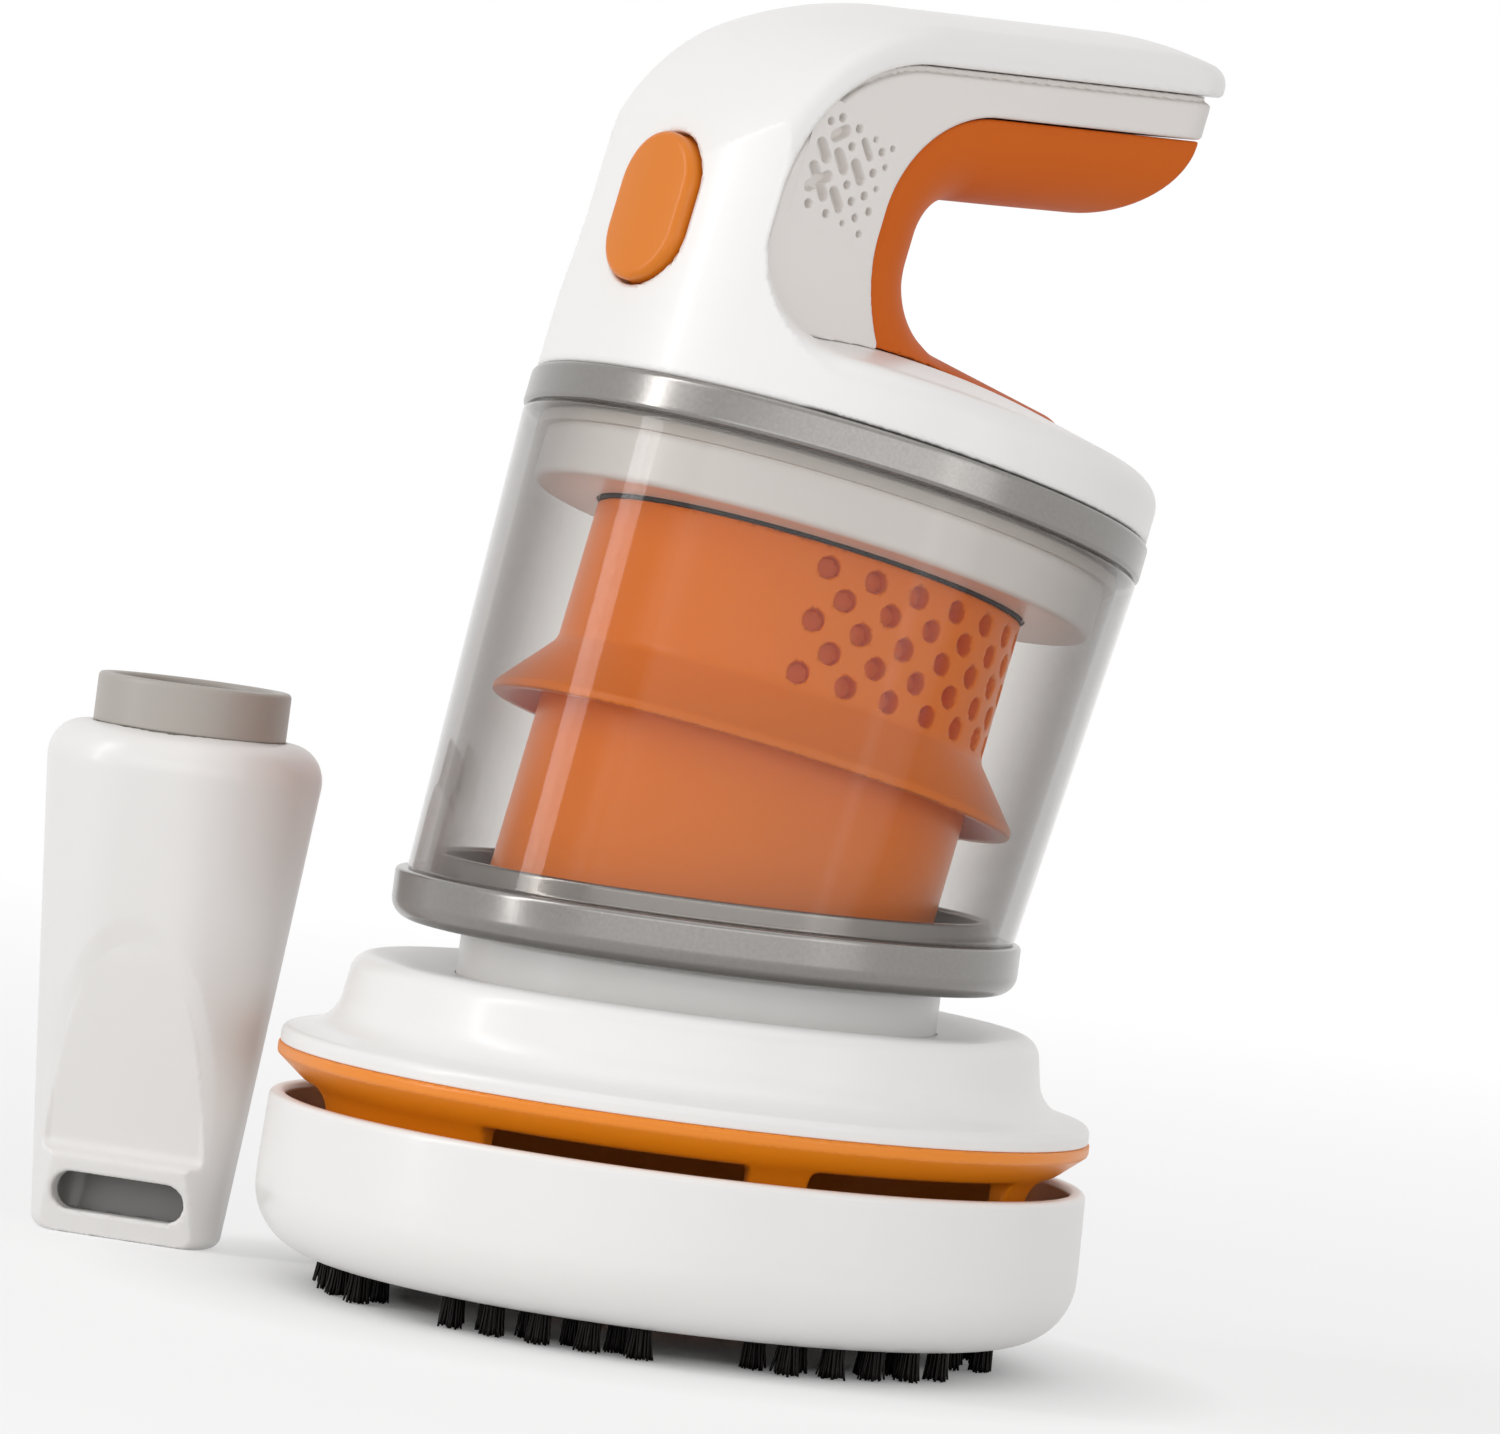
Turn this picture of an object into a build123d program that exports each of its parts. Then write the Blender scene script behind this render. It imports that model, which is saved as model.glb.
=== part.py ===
"""Small desk vacuum cleaner with a brush head, a clear dust cup and a hook handle, and its crevice nozzle.

Millimetres, +Z up. The origin is on the suction axis at the floor, the button faces -Y and the handle
runs back towards +Y. Angles "from the front" start at -Y and turn towards +X. The body above the cup's
base is drawn upright, and then leans back as one over the level head.
"""

import os
from math import atan, cos, degrees, hypot, radians, sin, tan

from build123d import *

# Heights of the stacked pieces, from the floor up
bristle_show = 3.8
bumper_height = 18.7
slot_band_show = 5.8
cover_height = 11.9
neck_show = 4.3
base_ring_height = 6.0
cup_height = 51.0
trim_ring_height = 4.5

# Lean of the body over the level head
body_lean_deg = 11.5

# Gaps and fits
head_gap = 0.3
twist_gap = 0.3
fit_gap = 0.12
shaft_clearance = 0.08
button_clearance = 0.35
spigot_clearance = 0.25
seam_gap = 0.25
groove_gap = 0.6
overrun = 6.0

# Brush strips
strip_count = 6
strip_span_deg = 44.0
strip_radius = 37.4
strip_width = 6.6
strip_thickness = 1.3
tuft_rows = 2
tuft_row_spacing = 3.7
tufts_per_row = 5
tuft_span_share = 0.88
strands_round_tuft = 6
strand_spacing = 0.78
strand_half_diagonal = 0.34
strand_sides = 4
strand_root = 0.3

# Bumper cup
bumper_radius = 49.1
bumper_rim_radius = 48.8
bumper_belly_share = 0.55
bumper_corner_share = 0.78
bumper_side_radius = 30.0
bumper_wall = 2.0
bumper_floor = 2.6
bumper_rim_round = 0.8
bumper_inside_round = 3.5
mouth_radius = 15.0
mouth_lip_round = 1.0

# Orange slot ring
slot_waist_radius = 43.5
slot_ring_wall = 2.2
slot_waist_rise = 0.4
slot_waist_round = 4.0
lip_radius = 48.5
lip_thickness = 1.3
slot_first_deg = 21.0
slot_span_deg = 41.5
slot_pitch_deg = 51.0
slots_per_side = 3
slot_below_lip = 4.2
slot_below_rim = 4.0

# Head cover
cover_rim_radius = 48.3
cover_rim_height = 1.9
cover_rim_round = 1.0
cover_flare_rise = 3.4
cover_flare_round = 4.6
cover_wall_radius = 42.2
cover_crest_radius = 40.8
cover_crest_round = 2.6
cover_dish_depth = 1.3
cover_wall = 2.2

# Neck of the head and its spigot
neck_radius = 28.7
neck_wall = 2.4
neck_flange_width = 3.4
neck_flange_thickness = 1.8
neck_flange_gap = 0.05
spigot_radius = 11.75
spigot_wall = 1.85
spigot_length = 13.0
spigot_end_round = 0.6
seal_section_radius = 0.6
seal_proud = 0.1
seal_share = 0.6
head_screw_count = 4
head_screw_radius = 1.2
head_screw_head_radius = 2.2
head_screw_head_height = 1.6
head_boss_height = 4.0

# Cup base ring and the inlet duct
base_ring_radius = 37.4
base_ring_round = 2.5
base_ring_edge = 0.5
base_floor_drop = 1.5
base_upstand_height = 2.4
base_upstand_wall = 1.4
base_upstand_gap = 0.3
duct_wall = 1.8
duct_flange_width = 4.0
duct_flange_thickness = 1.2
duct_height = 22.0

# Dust cup
cup_bottom_radius = 35.8
cup_top_radius = 38.0
cup_wall = 2.0
lug_count = 3
lug_span_deg = 14.0
lug_height = 1.2
lug_reach = 1.1
lug_rise = 2.6

# Trim ring, filter collar and seals
trim_ring_radius = 38.2
trim_ring_round = 0.6
trim_ledge_height = 0.8
collar_radius = 34.5
collar_depth = 7.8
collar_wall = 1.6
collar_floor = 2.0
collar_bore_radius = 15.5
collar_edge_round = 0.8
cup_seal_height = 1.4
cup_seal_drop = 0.5
gasket_thickness = 0.8

# Cyclone core
core_radius = 26.2
core_wall = 1.8
core_floor_gap = 0.9
skirt_radius = 32.0
skirt_top_share = 0.59
skirt_edge_share = 0.40
skirt_lip = 1.0
skirt_wall = 1.5
partition_thickness = 1.6
hole_radius = 1.3
hole_rows = 5
hole_row_spacing = 3.2
hole_top_margin = 2.6
hole_columns = 20
hole_pitch_deg = 13.0
window_span_deg = 44.0
window_low_share = 0.22
window_high_share = 0.36
filter_radius = 22.0
filter_wall = 5.0
filter_pleats = 30
filter_pleat_depth = 1.6
filter_floor_gap = 2.1

# Motor, its mount and the impeller
mount_thickness = 2.0
mount_slot_count = 6
mount_slot_inner = 23.0
mount_slot_outer = 30.0
mount_slot_span_deg = 44.0
motor_radius = 15.0
motor_height = 9.0
motor_edge_round = 1.2
motor_bore_share = 0.75
shaft_radius = 1.5
impeller_radius = 22.0
impeller_plate = 1.4
impeller_height = 5.6
impeller_top_gap = 2.0
impeller_hub_radius = 4.0
blade_count = 9
blade_thickness = 1.0
blade_curve_radius = 16.0
motor_screw_count = 3
motor_screw_radius = 1.0
motor_screw_head_radius = 1.9
motor_screw_head_height = 1.1
motor_screw_circle = 9.5
motor_screw_grip = 4.0

# Tower, shoulder and handle
tower_radius = 37.8
shell_wall = 2.2
shoulder_edge_rise = 6.8
shoulder_edge_round = 3.5
shoulder_mid_radius = 20.0
shoulder_mid_rise = 11.3
shoulder_mid_round = 70.0
shoulder_crown_rise = 13.5
front_bend_radius = 30.0
tower_reach = 70.0
cap_half_width = 17.5
cap_rear_reach = 30.4
cap_rear_round = 7.0
cap_top_rise = 55.8
cap_crown_radius = 60.0
cap_depth = 12.0
cap_edge_round = 3.2
cap_side_height = 6.9
cap_tail_length = 9.0
cap_tail_round = 28.0
handle_slope_deg = 13.9
neck_front = 33.0
neck_rear = 17.0
panel_bend_radius = 22.0
band_height = 5.5
apron_base_rise = 3.5
apron_cove_radius = 14.0
apron_top_spare = 1.5
apron_set_in = 1.2

# Neck core
core_half_width = 16.6
core_side_wall = 2.0
core_rear_wall = 2.0
core_rear_inset = 1.2
core_rear_round = 6.0
core_cavity_low_rise = 11.5
core_roof = 4.6
core_cavity_round = 3.0
rail_width = 3.0
rail_thickness = 1.4
passage_half_width = 11.0
passage_depth = 9.0
passage_rear_margin = 4.0

# Vents on the side panels: shares of the cluster's size, along (y, z) from its centre, and a bar's turn
vent_y = 24.1
vent_drop = 20.1
vent_size = 8.2
vent_bar_length = 2.9
vent_bar_width = 1.1
vent_dot_radius = 0.45
vent_bar_shares = (
    (-0.33, 0.50, 40),
    (-0.54, 0.18, -47),
    (-0.18, 0.13, -47),
    (0.16, 0.09, -47),
    (0.21, 0.44, -47),
    (-0.07, -0.40, -47),
    (-0.48, -0.26, -47),
    (-0.48, -0.26, 40),
)
vent_dot_shares = (
    (-0.56, 0.61),
    (-0.38, 0.72),
    (-0.04, 0.67),
    (-0.07, 0.39),
    (0.30, 0.62),
    (0.48, 0.49),
    (0.43, 0.16),
    (0.61, 0.30),
    (0.04, -0.15),
    (0.39, -0.20),
    (0.56, -0.04),
    (0.20, -0.34),
    (0.55, -0.38),
    (-0.18, -0.65),
    (-0.54, -0.61),
    (0.34, -0.54),
    (0.15, -0.68),
    (0.49, -0.73),
)

# Soft grip
grip_half_width = 15.6
grip_depth = 10.2
grip_corner_round = 9.0
grip_upper_bend_share = 0.379
grip_lower_bend_share = 0.481
grip_foot_rise = 4.6
grip_foot_reach = 21.5
grip_foot_fall = 3.2
grip_rear_inset = 3.4
grip_end_round = 11.0
grip_end_drop = 1.0

# Power button, board, switch and cell
button_height = 18.2
button_width = 13.0
button_rise = 19.3
button_proud = 1.2
button_edge_round = 0.9
button_flange = 1.2
button_flange_thickness = 1.0
button_seat_gap = 0.15
button_wall = 2.6
button_travel = 1.2
button_stem_radius = 2.5
button_stem_length = 0.6
press_gap = 0.1
switch_size = 6.0
switch_height = 2.8
switch_plunger_radius = 1.7
switch_plunger_height = 0.6
board_half_width = 14.0
board_head_room = 6.5
board_thickness = 1.6
cell_width = 22.8
cell_head_room = 4.5
cell_thickness = 7.6
cell_edge_round = 1.2
cell_lift = 1.0

# Charging socket on the shoulder
port_y = 25.0
port_width = 9.4
port_depth = 3.6
port_wall = 0.5
port_height = 6.5
port_sink = 0.3
port_flange = 1.2
port_flange_thickness = 1.0
port_tongue_thickness = 0.8

# Crevice nozzle, in its own place beside the head
nozzle_x = -58.0
nozzle_y = -37.0
nozzle_turn_deg = 40.0
nozzle_length = 62.0
nozzle_top_width = 35.0
nozzle_top_depth = 31.0
nozzle_top_round = 14.5
nozzle_tip_width = 23.0
nozzle_tip_depth = 13.0
nozzle_tip_round = 5.0
nozzle_shoulder_round = 5.0
nozzle_foot_round = 1.6
nozzle_wall = 2.2
nozzle_duct_tip_depth = 5.0
nozzle_duct_round_share = 0.45
scoop_top_share = 0.56
scoop_low_share = 0.165
scoop_tip_depth = 3.2
lip_proud = 1.6
nozzle_slot_width = 16.6
nozzle_slot_height = 4.7
nozzle_slot_share = 0.085
nozzle_collar_show = 6.0
nozzle_collar_seat = 3.0
nozzle_collar_step = 0.4

# Levels worked out from the heights above
bumper_z = bristle_show
bumper_top_z = bumper_z + bumper_height
bumper_floor_z = bumper_z + bumper_floor
lip_z = bumper_top_z + slot_band_show
cover_top_z = lip_z + cover_height
base_z = cover_top_z + neck_show
cup_z = base_z + base_ring_height
cup_floor_z = cup_z - base_floor_drop
ring_z = cup_z + cup_height
cup_top_z = ring_z - twist_gap
tower_z = ring_z + trim_ring_height
mount_z = tower_z - mount_thickness
collar_z = ring_z - collar_depth
dish_z = cover_top_z - cover_dish_depth
neck_top_z = base_z - head_gap
handle_slope = tan(radians(handle_slope_deg))
lean_slope = tan(radians(body_lean_deg))
groove_rise = cap_top_rise - cap_side_height
tower_inner = tower_radius - shell_wall
duct_bore = spigot_radius + spigot_clearance
duct_radius = duct_bore + duct_wall
core_top_z = collar_z - gasket_thickness
core_bottom_z = cup_floor_z + duct_flange_thickness + core_floor_gap
core_height = core_top_z - core_bottom_z
button_z = tower_z + button_rise
button_back = -tower_radius + button_wall + button_seat_gap
stem_end = button_back + button_flange_thickness + button_stem_length
plunger_y = stem_end + button_travel + press_gap
board_front = plunger_y + switch_plunger_height + switch_height
board_back = board_front + board_thickness
cell_back = -neck_rear - core_rear_wall
cavity_low_z = tower_z + core_cavity_low_rise
cavity_top_z = tower_z + groove_rise - handle_slope * neck_front - core_roof
board_height = cavity_top_z - board_head_room - cavity_low_z
cell_height = cavity_top_z - cell_head_room - cell_lift - cavity_low_z


def outline(corners):
    """Closed face through (x, y, radius) corners, each rounded by a tangent arc of its radius."""
    points = [corner[:2] for corner in corners]
    return make_face(FilletPolyline(*points, radius=[corner[2] for corner in corners], close=True))


def turned(*corners):
    """Solid of revolution about the suction axis from (radius, height, rounding) corners."""
    return revolve(Plane.XZ * outline(corners), Axis.Z)


def side_cut(half_width, *corners):
    """Prism across the part from a side outline of (y, z, rounding) corners."""
    return extrude(Plane.YZ * outline(corners), amount=half_width, both=True)


def tube(outer, inner, low, high):
    """Plain ring between two radii and two heights."""
    return turned((inner, low, 0), (outer, low, 0), (outer, high, 0), (inner, high, 0))


def disc(radius, low, high):
    """Plain cylinder on the suction axis."""
    return Pos(0, 0, low) * extrude(Circle(radius), high - low)


def sector(outer, inner, low, high, middle_deg, span_deg):
    """Part of a ring, centred on an angle from the front."""
    section = Pos((outer + inner) / 2, (low + high) / 2) * Rectangle(outer - inner, high - low)
    swept = revolve(Plane.XZ * section, Axis.Z, revolution_arc=span_deg)
    return Rot(0, 0, middle_deg - span_deg / 2 - 90) * swept


def on_circle(radius, angle_deg, height=0):
    """Place on a circle round the suction axis, at an angle from the front."""
    return Pos(radius * sin(radians(angle_deg)), -radius * cos(radians(angle_deg)), height)


def join(shapes):
    """One fuse of many solids."""
    first, *rest = shapes
    return first.fuse(*rest) if rest else first


def lean():
    """How the body leans back, about the point where its axis meets the top of the cup's base."""
    return Pos(0, 0, cup_z) * Rot(-body_lean_deg, 0, 0) * Pos(0, 0, -cup_z)


def below(height):
    """Everything under a level plane, turned back to suit the upright drawing of the body."""
    return lean().inverse() * disc(2 * tower_radius, 0, height)


def brush_strip(index):
    """Curved backing with two rows of tufts, cut flat where the part stands on them."""
    middle = (index + 1 / 2) * 360 / strip_count
    outer = strip_radius + strip_width / 2
    inner = strip_radius - strip_width / 2
    backing = sector(outer, inner, bumper_z, bumper_z + strip_thickness, middle, strip_span_deg)
    strand = extrude(RegularPolygon(strand_half_diagonal, strand_sides), bristle_show + strand_root)
    strands = []
    for row in range(tuft_rows):
        radius = strip_radius + (row - (tuft_rows - 1) / 2) * tuft_row_spacing
        for tuft in range(tufts_per_row):
            share = (tuft + row / tuft_rows) / (tufts_per_row - 1 / tuft_rows) - 1 / 2
            seat = on_circle(radius, middle + share * tuft_span_share * strip_span_deg)
            strands.append(seat * strand)
            for k in range(strands_round_tuft):
                turn = Rot(0, 0, k * 360 / strands_round_tuft)
                strands.append(seat * turn * Pos(strand_spacing, 0, 0) * strand)
    return backing.fuse(*strands)


def bumper():
    """White cup with a belly, a round bottom corner, a suction mouth and pockets for the strips."""
    belly_z = bumper_z + bumper_belly_share * bumper_height
    cup = turned(
        (mouth_radius, bumper_z, mouth_lip_round),
        (bumper_radius, bumper_z, bumper_corner_share * (belly_z - bumper_z)),
        (bumper_radius, belly_z, bumper_side_radius),
        (bumper_rim_radius, bumper_top_z, bumper_rim_round),
        (bumper_rim_radius - bumper_wall, bumper_top_z, bumper_rim_round),
        (bumper_radius - bumper_wall, belly_z, 0),
        (bumper_radius - bumper_wall, bumper_floor_z, bumper_inside_round),
        (mouth_radius, bumper_floor_z, mouth_lip_round),
    )
    outer = strip_radius + strip_width / 2 + fit_gap
    inner = strip_radius - strip_width / 2 - fit_gap
    spare_deg = degrees(2 * fit_gap / inner)
    low = bumper_z - overrun
    high = bumper_z + strip_thickness
    for index in range(strip_count):
        middle = (index + 1 / 2) * 360 / strip_count
        cup -= sector(outer, inner, low, high, middle, strip_span_deg + spare_deg)
    return cup


def slot_ring():
    """Orange ring with a thin lip, a concave waist and three air slots on each side."""
    inner = slot_waist_radius - slot_ring_wall
    ring = turned(
        (inner, bumper_floor_z, 0),
        (slot_waist_radius, bumper_floor_z, 0),
        (slot_waist_radius, bumper_top_z + slot_waist_rise, slot_waist_round),
        (lip_radius, lip_z - lip_thickness, 0),
        (lip_radius, lip_z, 0),
        (inner, lip_z, 0),
    )
    low = bumper_top_z - slot_below_rim
    high = lip_z - slot_below_lip
    for side in (-1, 1):
        for k in range(slots_per_side):
            middle = side * (slot_first_deg + slot_span_deg / 2 + k * slot_pitch_deg)
            ring -= sector(lip_radius + overrun, inner - overrun, low, high, middle, slot_span_deg)
    return ring


def head_screw_seats():
    """Places of the screws that hold the neck's flange under the cover."""
    radius = neck_radius + neck_flange_width / 2 + neck_flange_width / 4
    return [on_circle(radius, (k + 1 / 2) * 360 / head_screw_count) for k in range(head_screw_count)]


def head_cover():
    """White cover: dished top, rounded crest, upright wall, concave flare and a round rim."""
    hole = neck_radius + fit_gap
    cover = turned(
        (hole, dish_z - cover_wall, 0),
        (hole, dish_z, 0),
        (cover_crest_radius, cover_top_z, cover_crest_round),
        (cover_wall_radius, lip_z + cover_flare_rise, cover_flare_round),
        (cover_rim_radius, lip_z + cover_rim_height, cover_rim_round),
        (cover_rim_radius, lip_z, 0),
        (cover_wall_radius, lip_z, 0),
        (cover_crest_radius - cover_wall, cover_top_z - cover_wall, cover_crest_round / 2),
    )
    screw_hole = extrude(Circle(head_screw_radius + fit_gap), head_boss_height)
    boss = extrude(Circle(2 * head_screw_radius), cover_wall)
    low = dish_z - cover_wall
    for seat in head_screw_seats():
        cover += seat * Pos(0, 0, low) * boss
        cover -= seat * Pos(0, 0, low - head_boss_height / 2) * screw_hole
    return cover


def head_neck():
    """White neck with a flange under the cover and a hollow spigot that plugs into the cup."""
    bore = spigot_radius - spigot_wall
    flange_z = dish_z - cover_wall - neck_flange_gap
    flange_low = flange_z - neck_flange_thickness
    flange_radius = neck_radius + 2 * neck_flange_width
    top_z = neck_top_z + spigot_length
    neck = turned(
        (neck_radius - neck_wall, flange_low, 0),
        (flange_radius, flange_low, 0),
        (flange_radius, flange_z, 0),
        (neck_radius, flange_z, 0),
        (neck_radius, neck_top_z, spigot_end_round),
        (spigot_radius, neck_top_z, 0),
        (spigot_radius, top_z, spigot_end_round),
        (bore, top_z, spigot_end_round),
        (bore, neck_top_z - neck_wall, 0),
        (neck_radius - neck_wall, neck_top_z - neck_wall, 0),
    )
    neck -= seal_ring(fit_gap / 2)
    screw_hole = extrude(Circle(head_screw_radius + fit_gap), neck_flange_thickness + 2 * fit_gap)
    for seat in head_screw_seats():
        neck -= seat * Pos(0, 0, flange_low - fit_gap) * screw_hole
    return neck


def seal_ring(spare):
    """Round rubber ring in the spigot's groove, grown by a spare gap for the groove itself."""
    middle = spigot_radius + seal_proud - seal_section_radius
    height = neck_top_z + seal_share * spigot_length
    return Pos(0, 0, height) * Torus(middle, seal_section_radius + spare)


def head_screws():
    """Pan-head screws from below, through the neck's flange into the cover."""
    head_top = dish_z - cover_wall - neck_flange_gap - neck_flange_thickness
    shank_top = dish_z - cover_wall + head_boss_height / 2 - fit_gap
    head = extrude(Circle(head_screw_head_radius), head_screw_head_height)
    shank = extrude(Circle(head_screw_radius), shank_top - head_top)
    screw = Pos(0, 0, head_top - head_screw_head_height) * head + Pos(0, 0, head_top) * shank
    return Compound([seat * screw for seat in head_screw_seats()])


def cup_base():
    """Silver base ring with a rounded lower edge, an upstand inside the cup and the cup's floor."""
    hole = duct_radius + fit_gap
    outer = cup_bottom_radius - cup_wall - base_upstand_gap
    inner = outer - base_upstand_wall
    upstand_z = cup_z + base_upstand_height
    return turned(
        (hole, base_z, 0),
        (base_ring_radius, base_z, base_ring_round),
        (base_ring_radius, cup_z, base_ring_edge),
        (outer, cup_z, 0),
        (outer, upstand_z, 0),
        (inner, upstand_z, 0),
        (inner, cup_floor_z, 0),
        (hole, cup_floor_z, 0),
    )


def inlet_duct():
    """Tube from the base's socket up into the core, with a flange on the cup's floor."""
    flange = duct_radius + duct_flange_width
    flange_z = cup_floor_z + duct_flange_thickness
    return turned(
        (duct_bore, base_z, 0),
        (duct_radius, base_z, 0),
        (duct_radius, cup_floor_z, 0),
        (flange, cup_floor_z, 0),
        (flange, flange_z, 0),
        (duct_radius, flange_z, 0),
        (duct_radius, base_z + duct_height, 0),
        (duct_bore, base_z + duct_height, 0),
    )


def cup_radius_at(height):
    """Outer radius of the tapered cup at a height."""
    return cup_bottom_radius + (cup_top_radius - cup_bottom_radius) * (height - cup_z) / cup_height


def lug_levels():
    """Heights of the collar's lugs and of the cup's lugs that hang on them."""
    collar_low = collar_z + lug_rise
    cup_low = collar_low + lug_height + twist_gap
    return collar_low, cup_low


def dust_cup():
    """Clear tapered cup, cut level where it stands on its base, with three lugs inside its mouth."""
    top = cup_radius_at(cup_top_z)
    foot_z = cup_z - 2 * cup_bottom_radius * lean_slope
    foot = cup_radius_at(foot_z)
    cup = turned(
        (foot - cup_wall, foot_z, 0),
        (foot, foot_z, 0),
        (top, cup_top_z, 0),
        (top - cup_wall, cup_top_z, 0),
    )
    cup -= below(cup_z)
    low = lug_levels()[1]
    outer = cup_radius_at(low) - cup_wall / 2
    inner = collar_radius + twist_gap
    for k in range(lug_count):
        cup += sector(outer, inner, low, low + lug_height, (k + 1 / 2) * 360 / lug_count, lug_span_deg)
    return cup


def trim_ring():
    """Silver ring under the tower with a ledge that carries the collar."""
    inner = tower_inner
    return turned(
        (collar_radius + fit_gap, ring_z, 0),
        (trim_ring_radius, ring_z, trim_ring_round),
        (trim_ring_radius, tower_z, trim_ring_round),
        (inner, tower_z, 0),
        (inner, ring_z + trim_ledge_height, 0),
        (collar_radius + fit_gap, ring_z + trim_ledge_height, 0),
    )


def filter_collar():
    """White collar that plugs into the cup: a flanged drum with a floor, a bore and three lugs."""
    ledge_z = ring_z + trim_ledge_height
    inner = collar_radius - collar_wall
    floor_z = collar_z + collar_floor
    collar = turned(
        (collar_bore_radius, collar_z, 0),
        (collar_radius, collar_z, collar_edge_round),
        (collar_radius, ledge_z, 0),
        (tower_inner - fit_gap, ledge_z, 0),
        (tower_inner - fit_gap, mount_z, 0),
        (inner, mount_z, 0),
        (inner, floor_z, 0),
        (collar_bore_radius, floor_z, 0),
    )
    low = lug_levels()[0]
    for k in range(lug_count):
        middle = (k + 1 / 2) * 360 / lug_count
        outer = collar_radius + lug_reach
        collar += sector(outer, inner + collar_wall / 2, low, low + lug_height, middle, lug_span_deg)
    return collar - cup_seal(fit_gap / 2)


def cup_seal(spare):
    """Pale rubber ring near the top of the collar, grown by a spare gap for its groove."""
    high = ring_z - cup_seal_drop
    low = high - cup_seal_height
    outer = cup_radius_at(low) - cup_wall - twist_gap
    return tube(outer, collar_radius - collar_wall / 2 - spare, low - spare, high + spare)


def gasket():
    """Black flat ring between the collar and the core."""
    return tube(core_radius, core_radius - 2 * core_wall, core_top_z, collar_z)


def skirt_levels():
    """Heights of the skirt's root and of its lower edge on the core."""
    return core_bottom_z + skirt_top_share * core_height, core_bottom_z + skirt_edge_share * core_height


def cyclone_core():
    """Orange core: lower tube cut level, conical skirt, perforated upper tube and an outlet at the back."""
    skirt_z, edge_z = skirt_levels()
    bore = core_radius - core_wall
    core = tube(core_radius, bore, core_bottom_z - 2 * core_radius * lean_slope, core_top_z)
    core -= below(core_bottom_z)
    core += turned(
        (bore, skirt_z - skirt_wall, 0),
        (skirt_radius - skirt_wall, edge_z, 0),
        (skirt_radius, edge_z, 0),
        (skirt_radius, edge_z + skirt_lip, 0),
        (core_radius, skirt_z, 0),
        (bore, skirt_z, 0),
    )
    core += disc(bore + core_wall / 2, skirt_z - partition_thickness, skirt_z)
    low = core_bottom_z + window_low_share * core_height
    high = core_bottom_z + window_high_share * core_height
    core -= sector(core_radius + overrun, bore - overrun, low, high, 180, window_span_deg)
    drill = extrude(Plane.XZ * Circle(hole_radius), core_wall * 2, both=True)
    drills = []
    for row in range(hole_rows):
        height = core_top_z - hole_top_margin - row * hole_row_spacing
        for column in range(hole_columns - row % 2):
            angle = 180 + (column - (hole_columns - 1 - row % 2) / 2) * hole_pitch_deg
            drills.append(Rot(0, 0, angle) * Pos(0, -(core_radius - core_wall / 2), height) * drill)
    return core.cut(*drills)


def fine_filter():
    """Pleated filter sleeve hung under the collar inside the core."""
    points = []
    for k in range(2 * filter_pleats):
        radius = filter_radius - (k % 2) * filter_pleat_depth
        points.append(Vector(radius, 0).rotate(Axis.Z, k * 180 / filter_pleats))
    sleeve = make_face(Polyline(*points, close=True)) - Circle(filter_radius - filter_wall)
    low = skirt_levels()[0] + filter_floor_gap
    return Pos(0, 0, low) * extrude(sleeve, collar_z - low)


def motor_screw_seats():
    """Places of the motor's screws round the shaft."""
    return [on_circle(motor_screw_circle, k * 360 / motor_screw_count) for k in range(motor_screw_count)]


def motor_mount():
    """Plate on the collar that carries the motor, with air slots round it."""
    plate = tube(tower_inner - fit_gap, impeller_hub_radius, mount_z, tower_z)
    for k in range(mount_slot_count):
        middle = k * 360 / mount_slot_count
        low, high = mount_z - overrun, tower_z + overrun
        plate -= sector(mount_slot_outer, mount_slot_inner, low, high, middle, mount_slot_span_deg)
    hole = extrude(Circle(motor_screw_radius + fit_gap), mount_thickness + 2 * overrun)
    for seat in motor_screw_seats():
        plate -= seat * Pos(0, 0, mount_z - overrun) * hole
    return plate


def motor():
    """Flat motor can on the mount, with a bearing bore for the shaft."""
    bore = shaft_radius + shaft_clearance
    bore_z = tower_z + motor_bore_share * motor_height
    can = turned(
        (bore, tower_z, 0),
        (motor_radius, tower_z, motor_edge_round),
        (motor_radius, tower_z + motor_height, motor_edge_round),
        (0, tower_z + motor_height, 0),
        (0, bore_z, 0),
        (bore, bore_z, 0),
    )
    hole = extrude(Circle(motor_screw_radius + fit_gap), motor_screw_grip + 2 * fit_gap)
    for seat in motor_screw_seats():
        can -= seat * Pos(0, 0, tower_z) * hole
    return can


def motor_screws():
    """Screws from below, through the mount into the motor."""
    head = extrude(Circle(motor_screw_head_radius), motor_screw_head_height)
    shank = extrude(Circle(motor_screw_radius), mount_thickness + motor_screw_grip)
    screw = Pos(0, 0, mount_z - motor_screw_head_height) * head + Pos(0, 0, mount_z) * shank
    return Compound([seat * screw for seat in motor_screw_seats()])


def impeller_top():
    """Height of the impeller's plate, under the mount and its screw heads."""
    return mount_z - impeller_top_gap


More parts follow.
